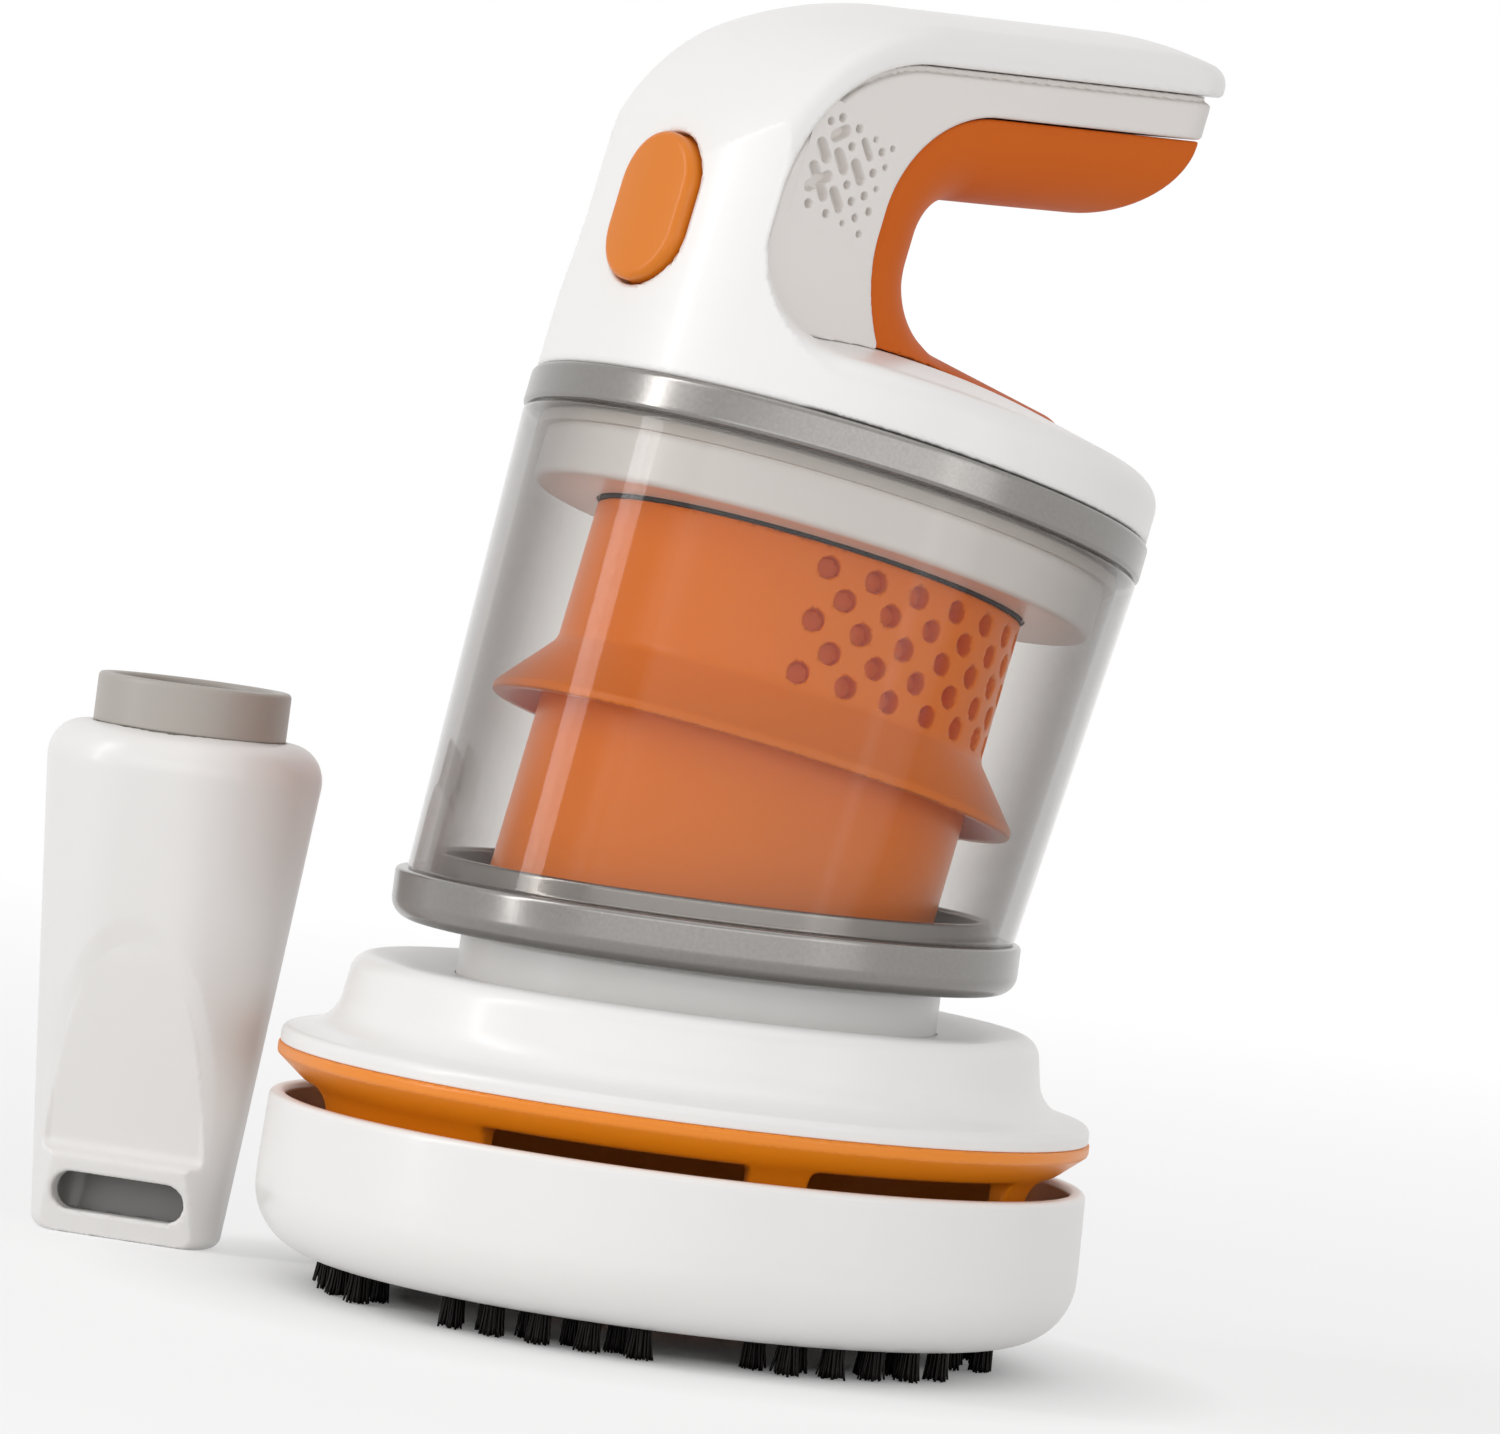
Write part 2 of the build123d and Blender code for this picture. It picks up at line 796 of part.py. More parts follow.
def impeller():
    """Plate with a hub and backward-curved blades below it."""
    top = impeller_top()
    low = top - impeller_height
    bore = shaft_radius + fit_gap / 2
    plate_z = top - impeller_plate
    wheel = turned(
        (bore, low, 0),
        (impeller_hub_radius, low, 0),
        (impeller_hub_radius, plate_z, 0),
        (impeller_radius, plate_z, 0),
        (impeller_radius, top, 0),
        (bore, top, 0),
    )
    arc = Circle(blade_curve_radius) - Circle(blade_curve_radius - blade_thickness)
    limit = Circle(impeller_radius - blade_thickness) - Circle(impeller_hub_radius + blade_thickness)
    half = Pos(0, impeller_radius) * Rectangle(2 * impeller_radius, 2 * impeller_radius)
    blade = (Pos(blade_curve_radius, 0) * arc) & limit & half
    solid = Pos(0, 0, low) * extrude(blade, impeller_height - impeller_plate / 2)
    return wheel.fuse(*[Rot(0, 0, k * 360 / blade_count) * solid for k in range(blade_count)])


def motor_shaft():
    """Steel shaft from the impeller's hub up into the motor."""
    low = impeller_top() - impeller_height
    high = tower_z + motor_bore_share * motor_height - fit_gap
    return disc(shaft_radius, low, high)


def shoulder_corners(wall):
    """Outline of the domed shoulder drum, drawn in by a wall."""
    return (
        (0, tower_z, 0),
        (tower_radius - wall, tower_z, 0),
        (tower_radius - wall, tower_z + shoulder_edge_rise - wall, shoulder_edge_round),
        (shoulder_mid_radius, tower_z + shoulder_mid_rise - wall, shoulder_mid_round),
        (0, tower_z + shoulder_crown_rise - wall, 0),
    )


def shoulder_form():
    """Solid form of the shoulder: the domed drum and the apron that sweeps up to the round front."""
    low = tower_z + apron_base_rise
    high = low + apron_cove_radius + apron_top_spare
    front = -tower_radius - overrun
    cove = -neck_front - apron_set_in
    apron = side_cut(
        tower_radius,
        (front, tower_z, 0),
        (front, high, 0),
        (cove, high, 0),
        (cove, low, apron_cove_radius),
        (0, low, 0),
        (0, tower_z, 0),
    )
    return turned(*shoulder_corners(0)) + (apron & disc(tower_radius, tower_z, high))


def handle_line(rise, y):
    """Height of a line along the sloping handle that crosses the axis at a rise above the tower's foot."""
    return tower_z + rise + handle_slope * y


def panel_prism(gap):
    """Space inside the front shell that the neck core fills, open to the back and drawn in by a gap."""
    front = -neck_front + gap
    rear = tower_radius + overrun
    rise = groove_rise - gap
    return side_cut(
        tower_radius + overrun,
        (front, tower_z - overrun, 0),
        (front, handle_line(rise, front), panel_bend_radius),
        (rear, handle_line(rise, rear), 0),
        (rear, tower_z - overrun, 0),
    )


def plan_slab(half_width, rear, rounding):
    """Upright prism that gives the handle its width and its rounded back end in plan."""
    front = -tower_radius - overrun
    face = outline(
        (
            (-half_width, front, 0),
            (half_width, front, 0),
            (half_width, rear, rounding),
            (-half_width, rear, rounding),
        )
    )
    return Pos(0, 0, tower_z) * extrude(face, tower_reach)


def tower_form():
    """Crowned strip that rises up the round front, bends over and runs back along the handle."""
    corner_z = handle_line(cap_top_rise, -tower_radius)
    tail = cap_rear_reach - cap_tail_length
    tail_z = handle_line(cap_top_rise, tail)
    path = Plane.YZ * FilletPolyline(
        (-tower_radius, tower_z),
        (-tower_radius, corner_z),
        (tail, tail_z),
        (cap_rear_reach, tail_z),
        radius=[front_bend_radius, cap_tail_round],
    )
    crown = Pos(0, cap_crown_radius) * Circle(cap_crown_radius)
    section = crown & (Pos(0, cap_depth / 2) * Rectangle(2 * cap_half_width, cap_depth))
    section = fillet(section.vertices().sort_by(Axis.Y)[:2], cap_edge_round)
    start = Plane(origin=path @ 0, x_dir=(1, 0, 0), z_dir=path % 0)
    strip = sweep(start * section, path=path)
    strip &= disc(tower_radius, tower_z, tower_z + tower_reach)
    return strip & plan_slab(cap_half_width + fit_gap, cap_rear_reach, cap_rear_round)


def button_stadium(spare, near, far):
    """Upright stadium prism of the button's outline, grown by a spare gap, from one depth to another."""
    width = button_width + 2 * spare
    height = button_height + 2 * spare
    face = Pos(0, button_z) * Rot(0, 0, 90) * SlotOverall(height, width)
    return Pos(0, far, 0) * extrude(Plane.XZ * face, far - near)


def front_shell():
    """White shell: shoulder drum, round front with the button's hole, and the cap over the handle."""
    shell = tower_form() - panel_prism(0)
    shell += shoulder_form()
    shell -= turned(*shoulder_corners(shell_wall))
    shell -= passage()
    pocket = -tower_radius + button_wall
    shell -= button_stadium(button_clearance, -tower_radius - overrun, pocket + overrun)
    shell -= button_stadium(button_flange + button_clearance, pocket, -neck_front + overrun)
    port_face = SlotOverall(port_width + 2 * fit_gap, port_depth + 2 * fit_gap)
    port_hole = extrude(port_face, shell_wall + overrun)
    return shell - Pos(0, port_y, tower_z + shoulder_edge_rise - shell_wall) * port_hole


def passage():
    """Opening from the drum up into the neck, for air and wires."""
    rear = -neck_rear - passage_rear_margin
    front = rear - passage_depth
    box = Pos(0, (front + rear) / 2) * Rectangle(2 * passage_half_width, rear - front)
    low = tower_z + shoulder_edge_rise - shell_wall
    return Pos(0, 0, low) * extrude(box, shoulder_crown_rise + overrun)


def bend_radius(share, run, slope):
    """Radius of a bend that takes a share of an upright run and turns it to a slope from level."""
    return share * run * tan(radians(45) + atan(slope) / 2)


def grip_path_corners():
    """Corners of the line between the side panels and the grip, from the handle's end to the shoulder."""
    rise = groove_rise - band_height
    end = cap_rear_reach - grip_rear_inset
    upper_z = handle_line(rise, -neck_rear)
    foot_z = tower_z + grip_foot_rise
    run = upper_z - foot_z
    fall_slope = grip_foot_fall / (grip_foot_reach + neck_rear)
    return (
        (end, handle_line(rise, end), 0),
        (-neck_rear, upper_z, bend_radius(grip_upper_bend_share, run, handle_slope)),
        (-neck_rear, foot_z, bend_radius(grip_lower_bend_share, run, fall_slope)),
        (grip_foot_reach, foot_z - grip_foot_fall, 0),
    )


def vent_cuts():
    """Bars, a plus sign and dots, cut through both side panels."""
    bar = SlotOverall(vent_bar_length, vent_bar_width)
    shapes = []
    for y_share, z_share, turn_deg in vent_bar_shares:
        shapes.append(Pos(y_share * vent_size, z_share * vent_size) * Rot(0, 0, turn_deg) * bar)
    for y_share, z_share in vent_dot_shares:
        shapes.append(Pos(y_share * vent_size, z_share * vent_size) * Circle(vent_dot_radius))
    face = Pos(-vent_y, tower_z + groove_rise - vent_drop) * join(shapes)
    return extrude(Plane.YZ * face, core_half_width + overrun, both=True)


def neck_core():
    """Pale frame of the neck and handle, with a cavity for the board and cell and vents in its sides."""
    end, upper, lower, foot = grip_path_corners()
    rear = cap_rear_reach - core_rear_inset
    rise = groove_rise - groove_gap
    front = -neck_front + seam_gap
    body = side_cut(
        core_half_width,
        (front, tower_z, 0),
        (front, handle_line(rise, front), panel_bend_radius),
        (rear, handle_line(rise, rear), 0),
        (rear, end[1] + handle_slope * (rear - end[0]), 0),
        upper,
        lower,
        foot,
        (foot[0], tower_z, 0),
    )
    body &= plan_slab(core_half_width, rear, core_rear_round)
    body -= shoulder_form()
    inner = core_half_width - core_side_wall
    cavity = side_cut(
        inner,
        (front - overrun, cavity_low_z - overrun, 0),
        (front - overrun, cavity_top_z, 0),
        (cell_back, cavity_top_z, core_cavity_round),
        (cell_back, cavity_low_z - overrun, 0),
    )
    body -= cavity
    rail_seat = Pos(inner - rail_width / 2, board_back + rail_thickness / 2)
    rail = rail_seat * Rectangle(rail_width, rail_thickness)
    rail_solid = Pos(0, 0, cavity_low_z) * extrude(rail, board_height - core_side_wall)
    body += rail_solid + mirror(rail_solid, Plane.YZ)
    return body - vent_cuts()


def grip():
    """Soft lining: a round-bottomed section carried along the inside of the hook, onto the shoulder."""
    corners = grip_path_corners()
    path = Plane.YZ * FilletPolyline(
        *[corner[:2] for corner in corners], radius=[corner[2] for corner in corners[1:-1]]
    )
    start = path @ 0
    section_plane = Plane(origin=start, x_dir=(1, 0, 0), z_dir=path % 0)
    section = section_plane * outline(
        (
            (-grip_half_width, 0, 0),
            (grip_half_width, 0, 0),
            (grip_half_width, -grip_depth, grip_corner_round),
            (-grip_half_width, -grip_depth, grip_corner_round),
        )
    )
    lining = sweep(section, path=path)
    rear = start.Y
    front = 0
    rise = groove_rise - band_height - grip_depth / cos(radians(handle_slope_deg)) - grip_end_drop
    keep = side_cut(
        grip_half_width + overrun,
        (front, handle_line(rise, front), 0),
        (rear, handle_line(rise, rear), grip_end_round),
        (rear, handle_line(cap_top_rise, rear), 0),
        (front, handle_line(cap_top_rise, front), 0),
    )
    block = side_cut(
        grip_half_width + overrun,
        (front, handle_line(rise, front), 0),
        (rear + overrun, handle_line(rise, rear + overrun), 0),
        (rear + overrun, handle_line(cap_top_rise, rear + overrun), 0),
        (front, handle_line(cap_top_rise, front), 0),
    )
    return lining - (block - keep) - shoulder_form()


def power_button():
    """Orange stadium cap that follows the round front, with a flange behind the wall and a stem."""
    cap = button_stadium(0, -tower_radius - overrun, button_back)
    cap &= disc(tower_radius + button_proud, tower_z, tower_z + tower_reach)
    cap = fillet(cap.faces().sort_by(Axis.Y)[0].edges(), button_edge_round)
    flange = button_stadium(button_flange, button_back, button_back + button_flange_thickness)
    stem = Pos(0, stem_end, button_z) * extrude(
        Plane.XZ * Circle(button_stem_radius), stem_end - button_back - button_flange_thickness / 2
    )
    return cap + flange + stem


def switch():
    """Push switch on the board, facing the button's stem."""
    body = Pos(0, 0, button_z) * extrude(Plane.XZ * Rectangle(switch_size, switch_size), switch_height)
    plunger = Pos(0, -switch_height, button_z) * extrude(
        Plane.XZ * Circle(switch_plunger_radius), switch_plunger_height
    )
    return Pos(0, board_front, 0) * (body + plunger)


def circuit_board():
    """Board that stands behind the button on the core's rails."""
    board = Pos(0, (board_front + board_back) / 2) * Rectangle(2 * board_half_width, board_thickness)
    return Pos(0, 0, cavity_low_z) * extrude(board, board_height)


def battery_cell():
    """Flat cell against the back wall of the neck's cavity."""
    low = cavity_low_z + cell_lift
    block = Box(cell_width, cell_thickness, cell_height)
    cell = Pos(0, cell_back - cell_thickness / 2, low + cell_height / 2) * block
    return fillet(cell.edges().filter_by(Axis.Z), cell_edge_round)


def shoulder_height_at(radius, wall):
    """Height of the shoulder's slope between its middle circle and its edge, drawn in by a wall."""
    share = (radius - shoulder_mid_radius) / (tower_radius - wall - shoulder_mid_radius)
    return tower_z + shoulder_mid_rise - wall + (shoulder_edge_rise - shoulder_mid_rise) * share


def charging_port():
    """Small socket let into the shoulder behind the grip."""
    top = shoulder_height_at(port_y, 0) - port_sink
    low = top - port_height
    body = Pos(0, 0, low) * extrude(SlotOverall(port_width, port_depth), port_height)
    hollow = SlotOverall(port_width - 2 * port_wall, port_depth - 2 * port_wall)
    body -= Pos(0, 0, low + port_wall) * extrude(hollow, port_height)
    tongue = Rectangle(port_width / 2, port_tongue_thickness)
    body += Pos(0, 0, low) * extrude(tongue, port_height - 2 * port_wall)
    rim_radius = hypot(port_y + port_depth / 2 + port_flange, port_width / 2 + port_flange)
    rim_z = shoulder_height_at(rim_radius, shell_wall) - fit_gap
    flange = SlotOverall(port_width + 2 * port_flange, port_depth + 2 * port_flange)
    rim = extrude(flange - SlotOverall(port_width - port_wall, port_depth - port_wall), port_flange_thickness)
    return Pos(0, port_y, 0) * (body + Pos(0, 0, rim_z - port_flange_thickness) * rim)


def rounded_rectangle(width, depth, rounding, y=0):
    """Rounded rectangle centred on the nozzle's axis, moved along its depth."""
    return Pos(0, y) * RectangleRounded(width, depth, rounding)


def nozzle_front(z):
    """Depth of the nozzle's scooped front at a height, from its axis."""
    top_z = scoop_top_share * nozzle_length
    top_depth = nozzle_tip_depth / 2 + (nozzle_top_depth - nozzle_tip_depth) / 2 * scoop_top_share
    return scoop_tip_depth + (top_depth - scoop_tip_depth) * z / top_z


def nozzle_body():
    """Tapered nozzle that stands on its tip: scooped front, slotted lip, hollow duct and a collar seat."""
    wide = rounded_rectangle(nozzle_top_width, nozzle_top_depth, nozzle_top_round)
    tip = rounded_rectangle(nozzle_tip_width, nozzle_tip_depth, nozzle_tip_round)
    body = loft([tip, Pos(0, 0, nozzle_length) * wide])
    body = fillet(body.faces().sort_by(Axis.Z)[-1].edges(), nozzle_shoulder_round)
    body = fillet(body.faces().sort_by(Axis.Z)[0].edges(), nozzle_foot_round)
    low = scoop_low_share * nozzle_length
    high = scoop_top_share * nozzle_length
    far = -nozzle_top_depth
    body -= side_cut(
        nozzle_top_width,
        (far, low, 0),
        (-nozzle_front(low), low, 0),
        (-nozzle_front(high), high, 0),
        (far, high + nozzle_length, 0),
    )
    body -= side_cut(
        nozzle_top_width,
        (far, -overrun, 0),
        (-nozzle_front(0) - lip_proud, -overrun, 0),
        (-nozzle_front(low) - lip_proud, low, 0),
        (far, low, 0),
    )
    duct_round = nozzle_duct_tip_depth * nozzle_duct_round_share
    duct_tip = RectangleRounded(nozzle_tip_width - 2 * nozzle_wall, nozzle_duct_tip_depth, duct_round)
    bore = Circle(spigot_radius - spigot_wall)
    duct = loft([Pos(0, 0, nozzle_wall) * duct_tip, Pos(0, 0, nozzle_length) * bore])
    body -= duct
    body -= Pos(0, 0, nozzle_length - nozzle_collar_seat) * extrude(
        Circle(spigot_radius - nozzle_collar_step + fit_gap), nozzle_collar_seat + overrun
    )
    slot_z = nozzle_slot_share * nozzle_length
    slot = Pos(0, slot_z) * SlotOverall(nozzle_slot_width, nozzle_slot_height)
    body -= extrude(Plane.XZ * slot, nozzle_tip_depth)
    return nozzle_place() * body


def nozzle_place():
    """Where the nozzle stands, turned so that its slot looks a little away from the button."""
    return Pos(nozzle_x, nozzle_y, 0) * Rot(0, 0, nozzle_turn_deg)


def nozzle_collar():
    """Grey sleeve seated in the nozzle's top, the same size as the head's spigot."""
    low = nozzle_length - nozzle_collar_seat
    high = nozzle_length + nozzle_collar_show
    bore = spigot_radius - spigot_wall
    seat = spigot_radius - nozzle_collar_step
    sleeve = turned(
        (bore, low, 0),
        (seat, low, 0),
        (seat, nozzle_length, 0),
        (spigot_radius, nozzle_length, 0),
        (spigot_radius, high, spigot_end_round),
        (bore, high, spigot_end_round),
    )
    return nozzle_place() * sleeve


level_pieces = {
    "bumper": bumper,
    "slot_ring": slot_ring,
    "head_cover": head_cover,
    "head_neck": head_neck,
    "neck_seal": lambda: seal_ring(0),
    "head_screws": head_screws,
    "cup_base": cup_base,
    "inlet_duct": inlet_duct,
    "nozzle_body": nozzle_body,
    "nozzle_collar": nozzle_collar,
}
leaning_pieces = {
    "dust_cup": dust_cup,
    "trim_ring": trim_ring,
    "filter_collar": filter_collar,
    "cup_seal": lambda: cup_seal(0),
    "gasket": gasket,
    "cyclone_core": cyclone_core,
    "fine_filter": fine_filter,
    "motor_mount": motor_mount,
    "motor": motor,
    "motor_screws": motor_screws,
    "impeller": impeller,
    "motor_shaft": motor_shaft,
    "front_shell": front_shell,
    "neck_core": neck_core,
    "grip": grip,
    "power_button": power_button,
    "switch": switch,
    "circuit_board": circuit_board,
    "battery_cell": battery_cell,
    "charging_port": charging_port,
}

os.makedirs("parts", exist_ok=True)
for name, make in level_pieces.items():
    export_step(make(), f"parts/{name}.step")
for name, make in leaning_pieces.items():
    export_step(lean() * make(), f"parts/{name}.step")
for index in range(strip_count):
    export_step(brush_strip(index), f"parts/brush_strip_{index + 1}.step")
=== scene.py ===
"""Looks of a small desk vacuum cleaner: its surfaces are worked out with numpy from the part's own sizes.

Sizes are in millimetres until a mesh is made. The frame is the part's own: +Z up on the suction axis, the
button faces -Y and the handle runs back towards +Y. The body above the cup's base is drawn upright and then
leaned back over the level head.
"""

import bpy
import numpy as np
from mathutils import Matrix


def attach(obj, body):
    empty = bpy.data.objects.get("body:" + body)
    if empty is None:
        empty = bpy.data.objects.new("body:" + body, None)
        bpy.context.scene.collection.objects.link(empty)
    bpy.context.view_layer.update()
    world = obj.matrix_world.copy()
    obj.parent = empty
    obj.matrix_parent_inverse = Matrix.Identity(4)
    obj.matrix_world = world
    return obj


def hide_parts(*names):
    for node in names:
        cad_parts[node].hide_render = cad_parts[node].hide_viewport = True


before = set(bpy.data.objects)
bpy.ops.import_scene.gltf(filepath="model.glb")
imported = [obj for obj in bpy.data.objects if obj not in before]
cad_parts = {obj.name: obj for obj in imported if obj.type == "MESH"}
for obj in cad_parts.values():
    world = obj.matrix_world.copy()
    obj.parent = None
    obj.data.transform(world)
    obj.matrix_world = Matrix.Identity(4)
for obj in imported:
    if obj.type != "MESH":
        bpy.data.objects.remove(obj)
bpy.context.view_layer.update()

metre = 0.001

# Levels and sizes that the surfaces share
bumper_z, bumper_top_z, bumper_floor_z = 3.8, 22.5, 6.4
lip_z, cover_top_z = 28.3, 40.2
base_z, cup_z, cup_floor_z = 44.5, 50.5, 49.0
cup_height = 51.0
ring_z = 101.5
collar_z, collar_lip_z = 93.7, 93.3
tower_z = 106.0
tower_radius = 37.8
shell_wall = 2.2
slope_deg = 13.9
crown_rise, groove_rise = 55.8, 48.9
neck_front, neck_rear = 33.0, 17.0

# Shoulder drum: rises of its edge, of the bend between its cones and of its crown
drum_edge_rise, drum_bend_rise, drum_crown_rise = 6.8, 11.3, 13.5
drum_bend_radius = 20.0
drum_bend_round, drum_edge_round = 70.0, 3.5

# Cap: the strip that bends over the front and runs back over the handle
cap_half, cap_end = 17.5, 30.4
cap_tail, cap_tail_round, cap_front_round = 9.0, 28.0, 30.0
cap_crown = 120.0
cap_corner, cap_edge, cap_edge_cosine = 7.0, 3.2, 0.3
strip_edge, strip_cove, strip_cove_cosine = 0.5, 14.0, 0.1
shell_foot_edge = 0.6

# Button, its hole and the pocket behind it, and the socket at the foot of the grip
button_z = tower_z + 19.3
button_radius, button_straight = 6.5, 2.6
button_gap, button_proud = 0.4, 1.2
button_edge, button_edge_cosine = 1.1, 0.15
button_back_y, pocket_y, pocket_gap = -34.0, -35.2, 1.6
flange_y, flange_half, flange_gap = -34.5, 0.5, 1.1
button_hole_edge = 0.35
socket_half, socket_radius, socket_y = 2.9, 1.92, 25.0
socket_rise, socket_reach, socket_edge = 10.0, 8.0, 0.25

# Hook's inside, from the neck's back to the foot on the shoulder
band_height = 5.5
hook_round = 16.75
foot_rise, foot_fall, foot_end = 4.6, 3.2, 21.5
foot_round, foot_cosine = 18.1, -0.08

# Side panels, the channel under the cap and the vents
core_half = 16.6
panel_round, panel_corner, panel_end_gap = 22.0, 6.0, 1.2
panel_seam, shell_seam, panel_edge = 0.3, 0.03, 0.5
groove_gap, filler_gap, filler_inset = 0.9, 0.1, 0.9
vent_y, vent_z = -24.1, 134.8
vent_half_y, vent_half_z, vent_recess = 6.3, 7.0, 1.6
patch_overlap, patch_lift, patch_step = 0.6, 0.02, 0.11
vent_depth, vent_slope = 1.5, 0.2

# Grip: its layer, the swell of its foot and its end under the handle
grip_half, grip_depth, grip_round = 15.6, 10.2, 9.0
swell_depth, swell_y, swell_run, swell_top, swell_fade = 1.8, -12.0, 10.0, 20.0, 8.0
grip_end_inset, grip_end_drop, grip_end_round = 3.4, 0.8, 11.0
grip_parting = 22.0
grip_edge, grip_seat, grip_seam, grip_shell_gap = 0.8, 0.2, 0.3, 0.15

# Core: its skirt, the window at the back and its rows of holes
core_radius, core_wall = 26.2, 3.4
core_top_z, core_bottom_z = 92.9, 51.1
skirt_radius, skirt_edge_z, skirt_foot_z = 32.0, 68.82, 67.82
skirt_normal = (0.7677, 0.6416)
skirt_under_radius, skirt_under_normal = 30.5, (0.726, 0.688)
window_low_z, window_high_z, window_half_deg = 60.3, 66.1, 22.0
hole_rows, hole_pitch_deg, hole_last = 5, 13, 9
hole_radius, hole_depth, hole_top_gap, hole_row_gap = 1.3, 2.5, 2.6, 3.2
core_edge, skirt_edge, skirt_foot_edge, hole_edge = 0.3, 0.5, 0.25, 0.15
skirt_cove, skirt_cove_cosine = 0.8, 0.4

# Slot ring: an upright wall, the sweep out to its lip, and its slots
wall_radius, lip_radius, lip_edge, ring_bore = 43.5, 48.5, 0.3, 41.3
sweep_normal, sweep_start, sweep_round = (0.634, 0.773), 0.4, 4.0
slot_first_deg, slot_pitch_deg, slot_half_deg, slot_last = 41.75, 51, 20.75, 2
slot_z, slot_half_height, slot_corner, slot_edge = 21.3, 2.8, 0.9, 0.35

# Nozzle: half sizes and corner at its tip, and what they gain up to its top
nozzle_place = (-58.0, -37.0)
nozzle_turn_deg = 40.0
nozzle_length = 62.0
tip_half_x, tip_half_y, tip_corner = 11.5, 6.5, 5.0
gain_x, gain_y, gain_corner = 6.0, 9.0, 9.5
nozzle_bulge = 150.0
nozzle_top_round, nozzle_tip_round = 5.0, 1.6
arch_scale, arch_half, arch_z, arch_rise = 8.0, 10.0, 17.0, 21.0
inset_depth, inset_ramp, inset_z, inset_fade = 0.45, 1.2, 9.5, 2.0
scoop_tip, scoop_top, scoop_share, scoop_edge, scoop_cosine = 3.2, 11.54, 0.56, 0.5, 0.9
lip_proud, lip_top_z, lip_round, lip_cove = 1.5, 10.2, 1.2, 0.8
mouth_half, mouth_z, mouth_radius, mouth_edge = 5.95, 5.27, 2.35, 0.4
duct_z, duct_run = 2.2, 59.8
duct_half_x, duct_half_y, duct_gain_x, duct_gain_y = 9.3, 2.5, 0.6, 7.4
# Box on the nozzle's own axes where grey painted shade darkens its duct
duct_shade_x, duct_shade_y, duct_shade_z = 9.7, 3.1, 12.0
collar_seat_radius, collar_seat_z = 11.5, 59.0

# Cup: foot radius, gain up to its top, wall and edge
cup_foot_radius, cup_flare, cup_wall, cup_edge = 35.8, 2.2, 2.0, 0.2
cup_seat, cup_top_gap = 0.05, 0.3
cup_rise_shares = np.concatenate([[0.004], np.linspace(0.01, 0.99, 60), [0.996]])

# Brush strips: the backing, its tufts and their strands
strip_radius, strip_half_width, strip_half_deg = 37.4, 3.3, 22
strip_low_z, strip_high_z, strip_middle_z, strip_corner = 3.55, 5.0, 4.3, 0.4
strip_steps = 40
tufts_per_row, tuft_span_share, tuft_row_gap, tuft_radius = 5, 0.88, 3.7, 1.1
strands, strand_sides, golden_turn = 44, 4, 2.4
strand_root_z, strand_width, strand_taper = 4.1, 0.2, 0.05
strand_lean, strand_scatter, strand_bend, strand_short = 0.35, 0.12, 1.4, 0.45
strand_falls = np.array([0, 0.4, 0.75, 1.0])
lean_low, lean_high = 0.6, 1.5

# Fineness of the meshes: steps round a turned piece, spacing along its outline, passes onto a field's surface
turn_count = 240
outline_step = 0.3
slide_passes = 3

# Floor in metres: its section, and where its white begins and is full
floor_front, floor_reach, floor_bend, floor_wall, floor_half = -2.0, 1.2, 0.7, 2.4, 4.0
near_from, near_to, near_share = 0.03, 0.07, 0.7
far_from, far_to, far_share = 0.12, 0.7, 0.3
lamp_target = np.array([0, 0, 0.08])

# Vents about their middle: bars as (y, z, turn, length, width) and dots as (y, z, radius)
vent_bars = np.array([
    (-2.7, 4.1, 40, 2.9, 1.3),
    (-4.4, 1.5, -47, 3.1, 1.3),
    (-1.5, 1.1, -47, 3.2, 1.3),
    (1.3, 0.7, -47, 3.2, 1.2),
    (1.7, 3.6, -47, 2.8, 0.8),
    (-0.6, -3.3, -47, 3.2, 1.2),
    (-3.9, -2.1, -47, 5.0, 1.2),
    (-3.9, -2.1, 40, 4.2, 1.2),
])
vent_dots = np.array([
    (-4.6, 5.0, 0.42), (-3.1, 5.9, 0.45), (-0.3, 5.5, 0.45), (-0.6, 3.2, 0.45), (2.5, 5.1, 0.3),
    (3.9, 4.0, 0.42), (5.3, 4.9, 0.3), (3.5, 1.3, 0.45), (5.0, 2.5, 0.3), (0.3, -1.2, 0.45),
    (3.2, -1.6, 0.45), (4.6, -0.3, 0.3), (1.6, -2.8, 0.45), (4.5, -3.1, 0.42), (-1.5, -5.3, 0.45),
    (-4.4, -5.0, 0.5), (2.8, -4.4, 0.42), (1.2, -5.6, 0.3), (4.0, -6.0, 0.35),
])

slope_sin = np.sin(np.radians(slope_deg))
slope_cos = np.cos(np.radians(slope_deg))
slope = slope_sin / slope_cos
lean = np.radians(11.5)
lean_turn = np.array([[1, 0, 0], [0, np.cos(lean), np.sin(lean)], [0, -np.sin(lean), np.cos(lean)]])
lean_point = np.array([0, 0, cup_z])


def srgb(*levels):
    """Linear colour of 0 to 255 display levels."""
    part = np.array(levels) / 255
    linear = np.where(part <= 0.04045, part / 12.92, ((part + 0.055) / 1.055) ** 2.4)
    return (*linear.tolist(), 1.0)


# Shader building


class Wire:
    """A node's output that takes part in Python sums; each operator adds one Math node."""

    def __init__(self, sheet, socket):
        self.sheet = sheet
        self.socket = socket

    def math(self, operation, *values):
        return self.sheet.node("ShaderNodeMath", {"operation": operation}, dict(enumerate(values)))

    def __add__(self, other):
        return self.math("ADD", self, other)

    def __sub__(self, other):
        return self.math("SUBTRACT", self, other)

    def __rsub__(self, other):
        return self.math("SUBTRACT", other, self)

    def __mul__(self, other):
        return self.math("MULTIPLY", self, other)

    def __pow__(self, other):
        return self.math("POWER", self, other)

    __radd__ = __add__
    __rmul__ = __mul__


